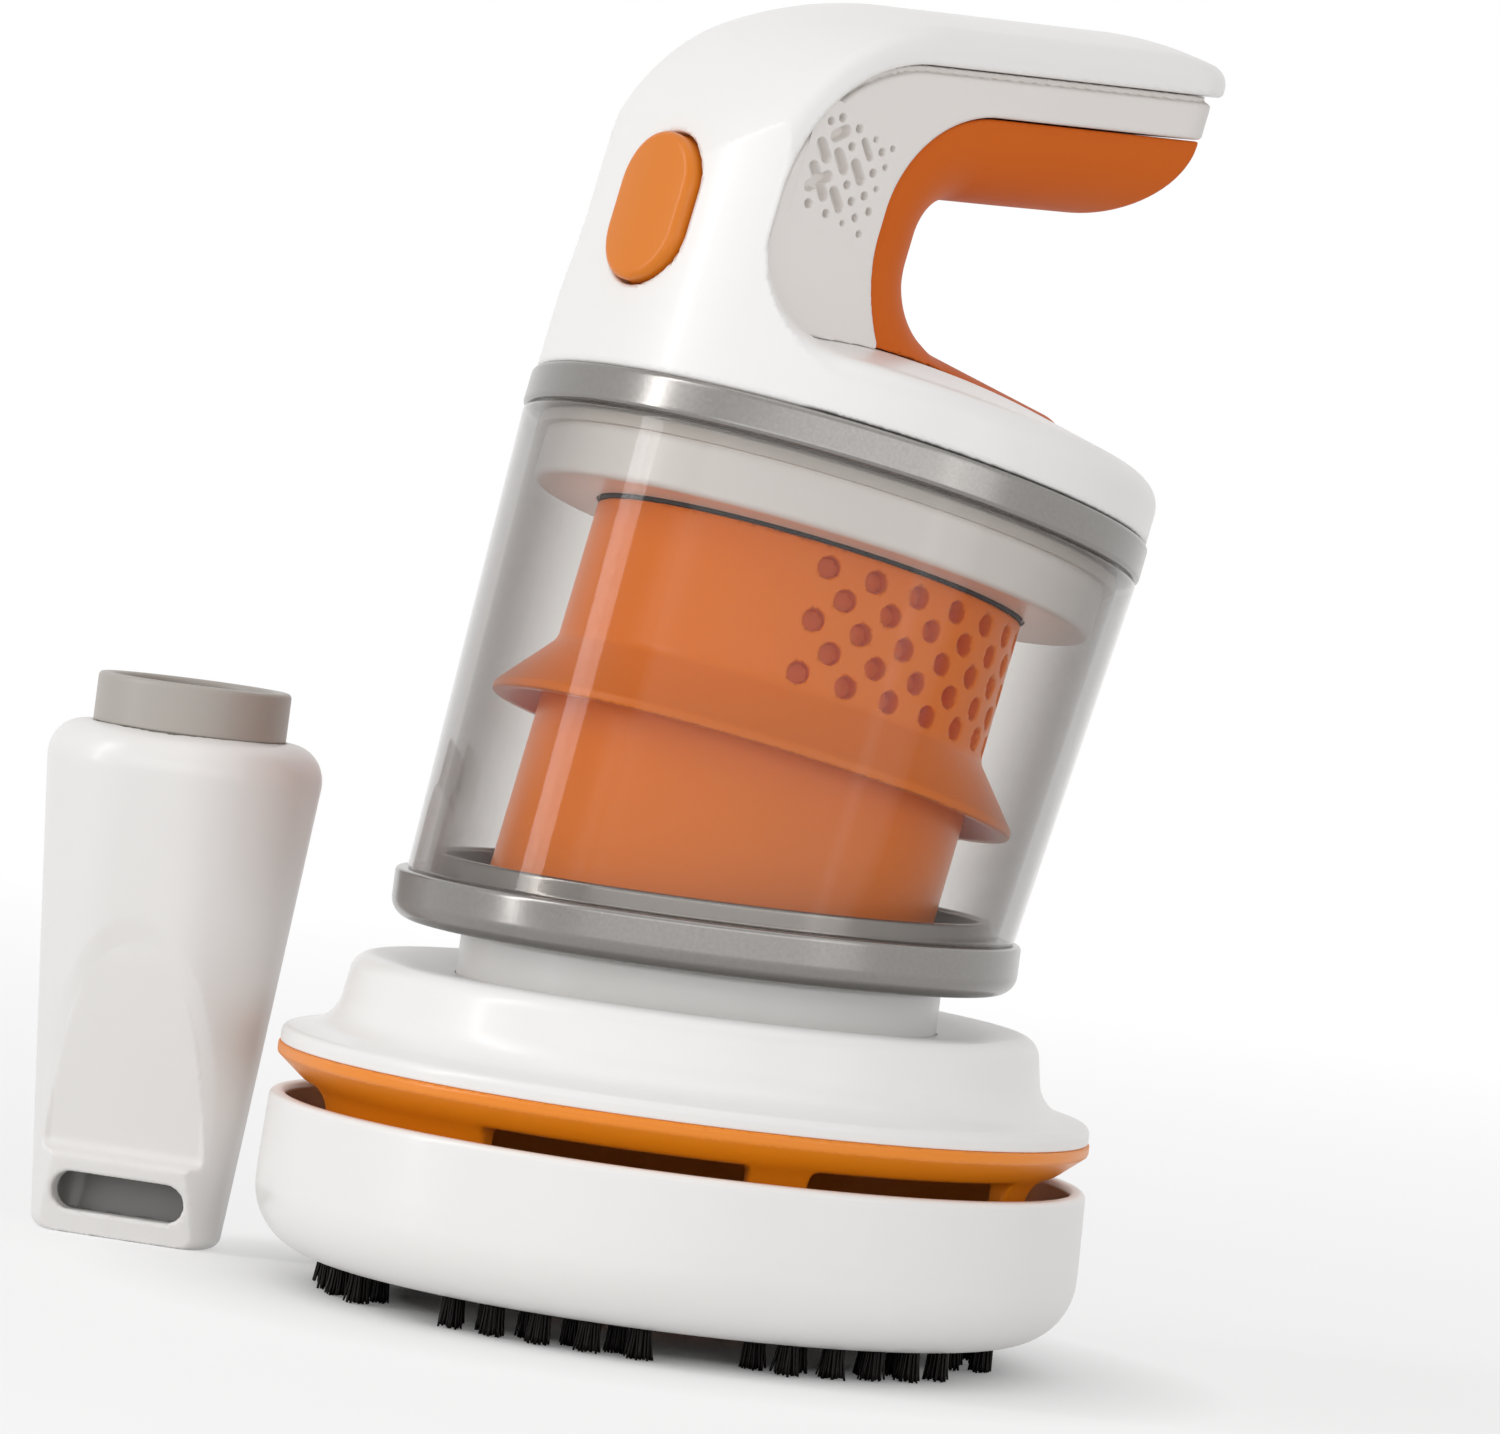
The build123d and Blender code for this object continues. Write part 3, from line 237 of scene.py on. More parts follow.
class Finish:
    """Node sheet of one material, or of the world."""

    def __init__(self, owner):
        self.owner = owner
        owner.use_nodes = True
        self.tree = owner.node_tree
        self.tree.nodes.clear()

    def node(self, kind, settings=None, inputs=None, output=0):
        """Adds a node: its settings first, then the values or links of its sockets."""
        made = self.tree.nodes.new(kind)
        for key, value in (settings or {}).items():
            setattr(made, key, value)
        for key, value in (inputs or {}).items():
            if isinstance(value, Wire):
                self.tree.links.new(value.socket, made.inputs[key])
            else:
                made.inputs[key].default_value = value
        return Wire(self, made.outputs[output]) if made.outputs else None

    def grain(self, scale, detail=3.0, stretch=(1, 1, 1)):
        """Noise in the piece's own space, with scale in waves a metre."""
        place = self.node("ShaderNodeTexCoord", output="Object")
        turned = self.node("ShaderNodeMapping", {}, {"Vector": place, "Scale": stretch})
        return self.node("ShaderNodeTexNoise", {}, {"Vector": turned, "Scale": scale, "Detail": detail})

    def blend(self, share, first, second):
        """Colour between two colours."""
        return self.node(
            "ShaderNodeMix", {"data_type": "RGBA"}, {"Factor": share, 6: first, 7: second}, output=2
        )

    def bump(self, height, depth):
        """Normal of a small relief whose full height is depth metres."""
        return self.node("ShaderNodeBump", {}, {"Height": height, "Distance": depth, "Strength": 1.0})

    def mix(self, share, first, second):
        """Shader between two shaders."""
        return self.node("ShaderNodeMixShader", {}, {0: share, 1: first, 2: second})

    def seen_ray(self):
        """One for rays that show the background to the eye, directly or in gloss and glass, else zero."""
        rays = [self.node("ShaderNodeLightPath", output=kind) for kind in background_rays]
        return rays[0].math("MAXIMUM", rays[0].math("MAXIMUM", rays[0], rays[1]), rays[2])

    def close(self, shader, kind="ShaderNodeOutputMaterial"):
        self.node(kind, {}, {"Surface": shader})
        return self.owner


background_rays = ("Is Camera Ray", "Is Glossy Ray", "Is Transmission Ray")

# Grains of the finishes, in waves a metre, and the spread of a moulding's gloss
cloud_waves, gloss_waves, skin_waves = 28.0, 140.0, 900.0
flake_waves, ring_line_waves, turned_line_waves, haze_waves = 2600.0, 500.0, 700.0, 60.0
gloss_spread, coat_roughness = 0.08, 0.12

# Clear cup: shares of smoke and of shine, face on and towards the edge
smoke_face, smoke_haze, smoke_gather = 0.005, 0.01, 1.9
shine_face, shine_edge = 0.013, 0.8


def new_sheet(name):
    return Finish(bpy.data.materials.new(name))


def duct_shade_mask(sheet):
    """Mask of painted shade: one in the nozzle's duct near its tip, found on the nozzle's own axes, and zero
    elsewhere.
    """
    turn = -np.radians(nozzle_turn_deg)
    back = np.array([[np.cos(turn), -np.sin(turn)], [np.sin(turn), np.cos(turn)]])
    shift = -metre * back @ np.array(nozzle_place)
    place = sheet.node("ShaderNodeTexCoord", output="Object")
    own = sheet.node(
        "ShaderNodeMapping", {}, {"Vector": place, "Location": (*shift, 0), "Rotation": (0, 0, turn)}
    )
    x, y, z = [sheet.node("ShaderNodeSeparateXYZ", {}, {0: own}, output=k) for k in range(3)]
    across = x.math("LESS_THAN", x.math("ABSOLUTE", x), duct_shade_x * metre)
    deep = y.math("LESS_THAN", y.math("ABSOLUTE", y), duct_shade_y * metre)
    return across * deep * z.math("LESS_THAN", z, duct_shade_z * metre)


def moulded(name, light, dark, roughness, relief, coat=0.0, grain=skin_waves, shine=0.5, duct_shade=None):
    """Moulded plastic or rubber: a faint cloud of two tones, uneven gloss and a fine skin relief. The nozzle
    has a grey painted shade in its duct, standing for the shade inside it."""
    sheet = new_sheet(name)
    tone = sheet.blend(sheet.grain(cloud_waves, 2.0), light, dark)
    # Painted shade: a grey blended into the nozzle's duct near its tip
    if duct_shade:
        tone = sheet.blend(duct_shade_mask(sheet), tone, duct_shade)
    inputs = {
        "Base Color": tone,
        "Roughness": roughness + gloss_spread * (sheet.grain(gloss_waves) - 0.5),
        "Normal": sheet.bump(sheet.grain(grain, 2.0), relief),
        "Specular IOR Level": shine,
        "Coat Weight": coat,
        "Coat Roughness": coat_roughness,
    }
    return sheet.close(sheet.node("ShaderNodeBsdfPrincipled", {}, inputs))


def silver_lacquer(name):
    """Silver lacquer: metallic, with a faint flake that tilts the normal and soft lines round the ring."""
    sheet = new_sheet(name)
    flake = sheet.grain(flake_waves, 1.0)
    lines = sheet.grain(ring_line_waves, 2.0, (0.04, 0.04, 3.0))
    inputs = {
        "Base Color": sheet.blend(flake, srgb(132, 129, 126), srgb(146, 143, 140)),
        "Metallic": 0.85,
        "Roughness": 0.2 + 0.06 * lines,
        "Normal": sheet.bump(flake, 0.0000012),
        "Coat Weight": 0.2,
        "Coat Roughness": 0.08,
    }
    return sheet.close(sheet.node("ShaderNodeBsdfPrincipled", {}, inputs))


def smoky_clear(name):
    """Clear moulding: light passes with a warm tint, smoke gathers towards grazing angles and clears at the
    very edge, and over both lies a shine that grows with the fifth power of how far the surface turns."""
    sheet = new_sheet(name)
    facing = sheet.node("ShaderNodeLayerWeight", {}, {"Blend": 0.5}, output="Facing")
    haze = sheet.grain(haze_waves, 3.0, (1, 1, 0.08))
    clear = sheet.node("ShaderNodeBsdfTransparent", {}, {"Color": srgb(249, 248, 247)})
    smoke = sheet.node(
        "ShaderNodeBsdfPrincipled",
        {},
        {"Base Color": sheet.blend(haze, srgb(94, 86, 80), srgb(110, 101, 95)), "Roughness": 0.3},
    )
    shine = sheet.node("ShaderNodeBsdfGlossy", {}, {"Color": (1, 1, 1, 1), "Roughness": 0.05})
    graze = facing ** 3.0
    smoke_share = smoke_face + smoke_haze * haze + smoke_gather * graze * (1 - graze)
    body = sheet.mix(smoke_share, clear, smoke)
    return sheet.close(sheet.mix(shine_face + shine_edge * facing ** 5.0, body, shine))


def plain_steel(name):
    """Turned steel: metallic with fine uneven lines."""
    sheet = new_sheet(name)
    lines = sheet.grain(turned_line_waves, 3.0, (1, 1, 8))
    inputs = {
        "Base Color": sheet.blend(lines, srgb(150, 150, 152), srgb(190, 190, 192)),
        "Metallic": 1.0,
        "Roughness": 0.3 + 0.15 * lines,
    }
    return sheet.close(sheet.node("ShaderNodeBsdfPrincipled", {}, inputs))


# Finishes: light tone, dark tone, roughness, relief in metres, coat, grain and shine
white_gloss = moulded("white_gloss", srgb(246, 244, 242), srgb(242, 240, 238), 0.35, 0.000002, 0.15)
pale_panel = moulded("pale_panel", srgb(236, 231, 227), srgb(230, 225, 221), 0.48, 0.000004)
orange_gloss = moulded("orange_gloss", srgb(245, 128, 4), srgb(238, 120, 2), 0.3, 0.000002, shine=0.2)
orange_ring = moulded("orange_ring", srgb(246, 144, 20), srgb(239, 135, 14), 0.36, 0.000002, 0.1)
orange_soft = moulded("orange_soft", srgb(214, 102, 12), srgb(206, 94, 8), 0.55, 0.000006, 0, 2200.0, 0.25)
button_orange = moulded(
    "button_orange", srgb(226, 128, 24), srgb(218, 119, 18), 0.34, 0.000003, 0, 1600.0, 0.4
)
grey_plastic = moulded("grey_plastic", srgb(180, 174, 167), srgb(170, 164, 157), 0.4, 0.000005)
pale_rubber = moulded("pale_rubber", srgb(222, 218, 212), srgb(210, 206, 200), 0.6, 0.00001)
black_rubber = moulded("black_rubber", srgb(24, 23, 22), srgb(16, 15, 15), 0.6, 0.00001)
filter_paper = moulded("filter_paper", srgb(238, 235, 226), srgb(226, 222, 212), 0.85, 0.00003, 0, 500.0)
dark_plastic = moulded("dark_plastic", srgb(38, 36, 35), srgb(28, 27, 26), 0.45, 0.000006)
board_green = moulded("board_green", srgb(26, 92, 56), srgb(20, 78, 48), 0.35, 0.000004)
cell_wrap = moulded("cell_wrap", srgb(132, 138, 146), srgb(120, 126, 134), 0.3, 0.000004)
bristle_black = moulded("bristle_black", srgb(26, 22, 20), srgb(14, 12, 11), 0.42, 0.000004, shine=0.15)
# Nozzle white, with a grey painted shade in its duct near the tip
nozzle_white = moulded(
    "nozzle_white", srgb(240, 238, 236), srgb(235, 233, 231), 0.35, 0.000002, 0.15,
    duct_shade=srgb(146, 144, 141),
)
silver = silver_lacquer("silver")
cup_clear = smoky_clear("smoky_clear")
steel = plain_steel("steel")


# Mesh building


def put(name, points, faces, finish, body, nodes=(), normals=None, upright=False):
    """Mesh from points in millimetres and an array of faces, riding on a body and standing for CAD nodes. An
    upright drawing of the body is leaned back first."""
    if upright:
        points = (points - lean_point) @ lean_turn.T + lean_point
        normals = None if normals is None else normals @ lean_turn.T
    mesh = bpy.data.meshes.new(name)
    mesh.vertices.add(len(points))
    mesh.vertices.foreach_set("co", (points * metre).astype(np.float32).ravel())
    mesh.loops.add(faces.size)
    mesh.loops.foreach_set("vertex_index", faces.astype(np.int32).ravel())
    mesh.polygons.add(len(faces))
    mesh.polygons.foreach_set("loop_start", np.arange(0, faces.size, faces.shape[1], dtype=np.int32))
    mesh.polygons.foreach_set("use_smooth", np.ones(len(faces), dtype=bool))
    mesh.update(calc_edges=True)
    if normals is not None:
        mesh.normals_split_custom_set_from_vertices(normals.tolist())
    mesh.materials.append(finish)
    piece = bpy.data.objects.new(name, mesh)
    bpy.context.scene.collection.objects.link(piece)
    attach(piece, body)
    if nodes:
        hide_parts(*nodes)


def rounded(corners):
    """Closed outline of (a, b, radius) corners: each corner is an arc tangent to both its sides, and each
    straight side is sampled finely at its ends and coarsely between."""
    corners = np.array(corners, dtype=float)
    spots, radii = corners[:, :2], corners[:, 2]
    back = np.roll(spots, 1, axis=0) - spots
    ahead = np.roll(spots, -1, axis=0) - spots
    back /= np.linalg.norm(back, axis=1)[:, None]
    ahead /= np.linalg.norm(ahead, axis=1)[:, None]
    pieces = []
    for spot, u, v, radius in zip(spots, back, ahead, radii):
        half = np.arccos(np.clip(u @ v, -1, 1)) / 2
        middle = spot + (u + v) / np.linalg.norm(u + v) * radius / np.sin(half)
        start = spot + u * radius / np.tan(half) - middle
        turn = np.sign(u[1] * v[0] - u[0] * v[1]) * (np.pi - 2 * half)
        count = max(4, int(np.ceil(abs(turn) * radius / outline_step)))
        angle = np.linspace(0, turn, count + 1)[:, None]
        side = np.array([-start[1], start[0]])
        pieces.append(middle + start * np.cos(angle) + side * np.sin(angle))
    outline = []
    for piece, following in zip(pieces, pieces[1:] + pieces[:1]):
        run = np.linalg.norm(following[0] - piece[-1])
        share = np.linspace(0, 1, max(2, int(run / (4 * outline_step)) + 1))
        edge = outline_step / 2 / run
        share = np.unique(np.clip(np.concatenate([share, [edge, 1 - edge]]), 0, 1))
        outline += [piece[:-1], piece[-1] + (following[0] - piece[-1]) * share[:-1, None]]
    return np.concatenate(outline)


def mesh_grid(across, along, closed_across=True, closed_along=True):
    """Quads of a grid that may close on itself either way."""
    rows = np.arange(across if closed_across else across - 1)
    columns = np.arange(along if closed_along else along - 1)
    i, j = np.meshgrid(rows, columns, indexing="ij")
    after_i, after_j = (i + 1) % across, (j + 1) % along
    quads = [i * along + j, after_i * along + j, after_i * along + after_j, i * along + after_j]
    return np.stack(quads, -1).reshape(-1, 4)


def lathe(name, corners, finish, body, upright=False, place=(0, 0)):
    """Closed outline carried round an upright axis: point (i, j) is (r_j cos t_i, r_j sin t_i, z_j)."""
    outline = rounded(corners)
    turn = np.linspace(0, 2 * np.pi, turn_count, endpoint=False)[:, None]
    radius, height = outline[:, 0], outline[:, 1] + 0 * turn
    points = np.stack([place[0] + radius * np.cos(turn), place[1] + radius * np.sin(turn), height], -1)
    faces = mesh_grid(turn_count, len(outline))
    put(name + "_skin", points.reshape(-1, 3), faces, finish, body, (name,), None, upright)


# Distance fields: negative inside, in millimetres


def meet(a, b, radius, cosine=0.0):
    """Where two fields hold together, their shared edge rounded by a radius; cosine is that of the angle
    between their normals. It is the distance to the corner moved in by the radius, less the radius."""
    a1, b1 = a + radius, b + radius
    beyond = (a1 - cosine * b1 > 0) & (b1 - cosine * a1 > 0)
    corner = np.sqrt(np.maximum(a1 * a1 + b1 * b1 - 2 * cosine * a1 * b1, 0)) / np.sqrt(1 - cosine**2)
    return np.where(beyond, corner, np.maximum(a1, b1)) - radius


def unite(a, b, radius, cosine=0.0):
    """Two fields joined, with a cove of that radius in the corner between them."""
    return -meet(-a, -b, radius, cosine)


def gradient(field, points, reach):
    """Central differences of a field along the three axes."""
    shifts = np.eye(3) * reach
    return np.stack([field(points + s) - field(points - s) for s in shifts], -1) / (2 * reach)


def edge_crossings(value, grid):
    """For each axis: the order of axes that puts it first, the grid edges along it that the surface crosses,
    which of them start inside, and where the surface lies on them."""
    found = []
    for axis in range(3):
        order = (axis, (axis + 1) % 3, (axis + 2) % 3)
        v = np.transpose(value, order)
        g = np.transpose(grid, order + (3,))
        crossed = (v[:-1] < 0) != (v[1:] < 0)
        share = np.where(crossed, v[:-1] / np.where(crossed, v[:-1] - v[1:], 1), 0)
        spot = g[:-1] + share[..., None] * (g[1:] - g[:-1])
        found.append((order, crossed, v[:-1] < 0, spot))
    return found


def cell_points(crossings, cells):
    """Number of each crossed cell, and a point in it at the mean of the crossings on its edges."""
    total, count = np.zeros(cells + (3,)), np.zeros(cells)
    halves = (slice(None, -1), slice(1, None))
    for order, crossed, _, spot in crossings:
        weight = crossed.astype(float)
        back = np.argsort(order)
        for a in halves:
            for b in halves:
                count += np.transpose(weight[:, a, b], back)
                total += np.transpose(spot[:, a, b] * weight[:, a, b, None], (*back, 3))
    used = count > 0
    index = np.full(cells, -1)
    index[used] = np.arange(used.sum())
    return index, total[used] / count[used][:, None]


def cell_quads(crossings, index):
    """Quads of the four cells round each crossed grid edge, wound to face out."""
    quads = []
    for order, crossed, leaving, _ in crossings:
        ids = np.transpose(index, order)
        inner = crossed[:, 1:-1, 1:-1]
        ring = np.stack([ids[:, :-1, :-1], ids[:, 1:, :-1], ids[:, 1:, 1:], ids[:, :-1, 1:]], -1)[inner]
        quads.append(np.where(leaving[:, 1:-1, 1:-1][inner][:, None], ring, ring[:, ::-1]))
    return np.concatenate(quads)


def skin(field, low, high, step):
    """Zero surface of a field, sampled on a grid: one point in each crossed cell, a quad round each crossed
    edge, and the points then slide along the field's gradient onto the surface. Returns points, quads and the
    gradient's directions."""
    lines = [np.arange(a, b + step, step) for a, b in zip(low, high)]
    grid = np.stack(np.meshgrid(*lines, indexing="ij"), -1)
    value = field(grid)
    crossings = edge_crossings(value, grid)
    index, points = cell_points(crossings, tuple(n - 1 for n in value.shape))
    quads = cell_quads(crossings, index)
    for _ in range(slide_passes):
        pull = gradient(field, points, step / 8)
        shift = field(points)[:, None] * pull / np.maximum((pull * pull).sum(1), 0.25)[:, None]
        points = points - np.clip(shift, -step, step)
    pull = gradient(field, points, step / 3)
    return points, quads, pull / np.maximum(np.linalg.norm(pull, axis=1), 1e-9)[:, None]


def carve(name, field, low, high, step, finish, body, upright=False):
    """Piece from a distance field, standing for the CAD node of the same name."""
    points, quads, normals = skin(field, low, high, step)
    put(name + "_skin", points, quads, finish, body, (name,), normals, upright)


def parts(p):
    return p[..., 0], p[..., 1], p[..., 2]


def above_line(y, z, rise):
    """Distance above the line along the handle that crosses the axis at a rise."""
    return (z - tower_z - rise - slope * y) * slope_cos


def dome(p, wall):
    """Shoulder drum: a cylinder under two cones, rounded at its edge and where the cones meet."""
    x, y, z = parts(p)
    radius = np.hypot(x, y)
    floor = tower_z - wall
    edge, middle = tower_radius - wall, drum_bend_radius
    edge_z, middle_z, crown_z = floor + drum_edge_rise, floor + drum_bend_rise, floor + drum_crown_rise
    lower = np.array([middle_z - edge_z, edge - middle])
    upper = np.array([crown_z - middle_z, middle])
    lower, upper = lower / np.hypot(*lower), upper / np.hypot(*upper)
    low_cone = (radius - middle) * lower[0] + (z - middle_z) * lower[1]
    high_cone = (radius - middle) * upper[0] + (z - middle_z) * upper[1]
    top = meet(low_cone, high_cone, drum_bend_round, float(lower @ upper))
    body = meet(radius - edge, top, drum_edge_round, float(lower[0]))
    return np.maximum(body, tower_z - z)


def panel_space(p, front_gap, cap_gap):
    """Space behind the round front and under the cap, drawn in by a gap at each."""
    _, y, z = parts(p)
    under_cap = above_line(y, z, groove_rise) + cap_gap
    return meet(-neck_front - y + front_gap, under_cap, panel_round, slope_sin)


def tower(p):
    """Strip that rises up the round front, bends over and runs back: a crowned band with rounded edges."""
    x, y, z = parts(p)
    tail = crown_rise + slope * (cap_end - cap_tail)
    over = meet(above_line(y, z, crown_rise), z - tower_z - tail, cap_tail_round, slope_cos)
    over = meet(over, -y - tower_radius, cap_front_round, slope_sin) + x * x / cap_crown
    plan = meet(np.abs(x) - cap_half, y - cap_end, cap_corner)
    return meet(over, plan, cap_edge, cap_edge_cosine)


def button_plan(p, spare):
    """Upright stadium of the button's outline, grown by a spare gap."""
    x, _, z = parts(p)
    reach = np.maximum(np.abs(z - button_z) - button_straight, 0)
    return np.hypot(x, reach) - button_radius - spare


def shell_outside(p):
    """White shell before it is hollowed: the strip without the panel space, coved onto the shoulder drum."""
    x, y, z = parts(p)
    drum = np.hypot(x, y) - tower_radius
    strip = meet(tower(p), -panel_space(p, 0, 0), strip_edge)
    whole = np.maximum(unite(strip, dome(p, 0), strip_cove, strip_cove_cosine), drum)
    return meet(whole, tower_z - z, shell_foot_edge)


def front_shell(p):
    """White shell with the button's hole and pocket, the hollow of the drum and the socket's hole."""
    x, y, z = parts(p)
    body = np.maximum(shell_outside(p), -dome(p, shell_wall))
    body = meet(body, -button_plan(p, button_gap), button_hole_edge)
    body = np.maximum(body, -np.maximum(button_plan(p, pocket_gap), pocket_y - y))
    socket = np.hypot(np.maximum(np.abs(x) - socket_half, 0), y - socket_y) - socket_radius
    depth = np.abs(z - tower_z - socket_rise) - socket_reach
    return meet(body, -np.maximum(socket, depth), socket_edge)


def finger_space(p):
    """The hook's inside, grip included: in front of the neck's back, under the band and over the foot."""
    _, y, z = parts(p)
    under = meet(-neck_rear - y, above_line(y, z, groove_rise - band_height), hook_round, slope_sin)
    foot = tower_z + foot_rise - foot_fall * (y + neck_rear) / (foot_end + neck_rear)
    return meet(under, foot - z, foot_round, foot_cosine)


def vent_pocket(p):
    """Rectangle on the side panels that the vent patches cover."""
    _, y, z = parts(p)
    return np.maximum(np.abs(y - vent_y) - vent_half_y, np.abs(z - vent_z) - vent_half_z)


def neck_core(p):
    """Pale panels: what the shell and the grip leave of the panel space, with a shallow channel under the cap
    and a fine seam elsewhere."""
    x, y, _ = parts(p)
    plan = meet(np.abs(x) - core_half, y - cap_end + panel_end_gap, panel_corner)
    side = meet(panel_space(p, panel_seam, groove_gap), -finger_space(p), panel_seam)
    inner = np.maximum(panel_space(p, panel_seam, filler_gap), plan + filler_inset)
    filler = np.maximum(inner, -finger_space(p))
    body = np.minimum(meet(side, plan, panel_edge), filler)
    body = np.maximum(body, shell_seam - shell_outside(p))
    return np.maximum(body, -np.maximum(vent_pocket(p), core_half - vent_recess - np.abs(x)))


def grip(p):
    """Soft lining of the hook: a layer on the inside of the finger space with a round-bottomed section, and
    an end under the handle that is rounded from the side."""
    x, y, z = parts(p)
    space = finger_space(p)
    low = np.clip((tower_z + swell_top - z) / swell_fade, 0, 1)
    swell = swell_depth * np.clip((y - swell_y) / swell_run, 0, 1) * low
    layer = meet(-space - grip_depth - swell, np.abs(x) - grip_half, grip_round)
    end = meet(-space - grip_depth - grip_end_drop, y - cap_end + grip_end_inset, grip_end_round)
    over, under = meet(layer, end, grip_edge), meet(layer, y - foot_end, grip_edge)
    layer = np.where(z > tower_z + grip_parting, over, under)
    return np.maximum(meet(layer, space + grip_seat, grip_seam), grip_shell_gap - shell_outside(p))


def power_button(p):
    """Button cap that follows the round front, with soft edges and a flange behind the wall."""
    x, y, _ = parts(p)
    face = np.hypot(x, y) - tower_radius - button_proud
    cap = meet(face, button_plan(p, 0), button_edge, button_edge_cosine)
    cap = meet(cap, y - button_back_y, panel_seam)
    flange = np.maximum(button_plan(p, flange_gap), np.abs(y - flange_y) - flange_half)
    return np.minimum(cap, flange)


def core_skirt(radius, z):
    """Conical skirt: slanted outside, a thin lip, and an underside that slants back in."""
    outside = (radius - skirt_radius) * skirt_normal[0] + (z - skirt_edge_z) * skirt_normal[1]
    lip = meet(outside, radius - skirt_radius, skirt_edge, skirt_normal[0])
    inward, down = skirt_under_radius - radius, skirt_foot_z - z
    under = inward * skirt_under_normal[0] + down * skirt_under_normal[1]
    return np.maximum(meet(lip, down, skirt_foot_edge), under)


def core_holes(angle, radius, z, row):
    """A row of blind round holes, staggered from the rows beside it: the one nearest to the point counts."""
    odd = row % 2
    offset = 0.5 - 0.5 * odd
    column = np.clip(np.round(angle / hole_pitch_deg - offset), odd - hole_last - 1, hole_last) + offset
    across = np.radians(angle - hole_pitch_deg * column) * radius
    hole = np.hypot(across, z - core_top_z + hole_top_gap + hole_row_gap * row) - hole_radius
    return np.maximum(hole, core_radius - hole_depth - radius)


def cyclone_core(p):
    """Orange core: a tube cut level at its foot, a skirt round it, a window at the back and rows of holes."""
    x, y, z = parts(p)
    radius = np.hypot(x, y)
    bore = core_radius - core_wall - radius
    level = cup_z + (z - cup_z) * np.cos(lean) - y * np.sin(lean)
    tube = meet(np.maximum(radius - core_radius, bore), z - core_top_z, core_edge)
    tube = np.maximum(tube, core_bottom_z - level)
    core = unite(tube, np.maximum(core_skirt(radius, z), bore), skirt_cove, skirt_cove_cosine)
    angle = np.degrees(np.arctan2(x, y))
    beside = (np.abs(angle) - window_half_deg) * np.radians(radius)
    window = np.maximum(np.maximum(window_low_z - z, z - window_high_z), beside)
    core = np.maximum(core, -np.maximum(window, -y))
    for row in range(hole_rows):
        core = meet(core, -core_holes(angle, radius, z, row), hole_edge)
    return core


def slot_ring(p):
    """Orange ring: an upright wall that sweeps out to a thin lip, with three rounded slots each side."""
    x, y, z = parts(p)
    radius = np.hypot(x, y)
    wall = radius - wall_radius
    sweep = wall * sweep_normal[0] - (z - bumper_top_z - sweep_start) * sweep_normal[1]
    outside = unite(wall, sweep, sweep_round, sweep_normal[0])
    lip = meet(meet(outside, radius - lip_radius, lip_edge, sweep_normal[0]), z - lip_z, lip_edge)
    ring = np.maximum(np.maximum(lip, ring_bore - radius), bumper_floor_z - z)
    angle = np.degrees(np.arctan2(np.abs(x), -y)) - slot_first_deg
    nearest = slot_pitch_deg * np.clip(np.round(angle / slot_pitch_deg), 0, slot_last)
    across = (np.abs(np.radians(angle - nearest)) - np.radians(slot_half_deg)) * radius
    slot = meet(across, np.abs(z - slot_z) - slot_half_height, slot_corner)
    return meet(ring, -slot, slot_edge)


def nozzle_inset(x, y, z):
    """How far the nozzle's front is sunk: fully inside an arch, fading out at its edge and near the lip."""
    arch = arch_scale * (np.hypot(x / arch_half, np.maximum(z - arch_z, 0) / arch_rise) - 1)
    in_arch = np.clip(0.5 - arch / inset_ramp, 0, 1) * np.clip((z - inset_z) / inset_fade, 0, 1)
    return inset_depth * np.where(y < 0, in_arch, 0)


def nozzle_outside(x, y, z):
    """Rounded box that grows upwards, with a scooped facet, its sunk arch and a proud lip at its tip."""
    share = z / nozzle_length
    half_x, half_y = tip_half_x + gain_x * share, tip_half_y + gain_y * share - x * x / nozzle_bulge
    corner = tip_corner + gain_corner * share
    qx, qy = np.abs(x) - half_x + corner, np.abs(y) - half_y + corner
    box = np.hypot(np.maximum(qx, 0), np.maximum(qy, 0)) + np.minimum(np.maximum(qx, qy), 0) - corner
    sunk = nozzle_inset(x, y, z)
    body = meet(meet(box, z - nozzle_length, nozzle_top_round), -z, nozzle_tip_round) + sunk
    tilt = (scoop_top - scoop_tip) / (scoop_share * nozzle_length)
    scoop = (-y - scoop_tip - tilt * z) / np.hypot(1, tilt) + sunk
    lip = meet(scoop - lip_proud, z - lip_top_z, lip_round)
    return meet(body, unite(scoop, lip, lip_cove), scoop_edge, scoop_cosine)


def nozzle_body(p):
    """Tapered nozzle on its tip, with a slot into its duct and a collar seat in its top. The point is first
    moved and turned onto the nozzle's own axes."""
    dx, dy = p[..., 0] - nozzle_place[0], p[..., 1] - nozzle_place[1]
    c, s = np.cos(np.radians(nozzle_turn_deg)), np.sin(np.radians(nozzle_turn_deg))
    x, y, z = dx * c + dy * s, dy * c - dx * s, p[..., 2]
    mouth = np.hypot(np.maximum(np.abs(x) - mouth_half, 0), z - mouth_z) - mouth_radius
    body = meet(nozzle_outside(x, y, z), -np.maximum(mouth, y), mouth_edge)
    along = np.clip((z - duct_z) / duct_run, 0, 1)
    duct_x, duct_y = duct_half_x + duct_gain_x * along, duct_half_y + duct_gain_y * along
    duct = np.hypot(np.maximum(np.abs(x) - duct_x + duct_y, 0), y) - duct_y
    body = np.maximum(body, -np.maximum(duct, duct_z - z))
    return np.maximum(body, -np.maximum(np.hypot(x, y) - collar_seat_radius, collar_seat_z - z))


# Clear cup, vents and bristles


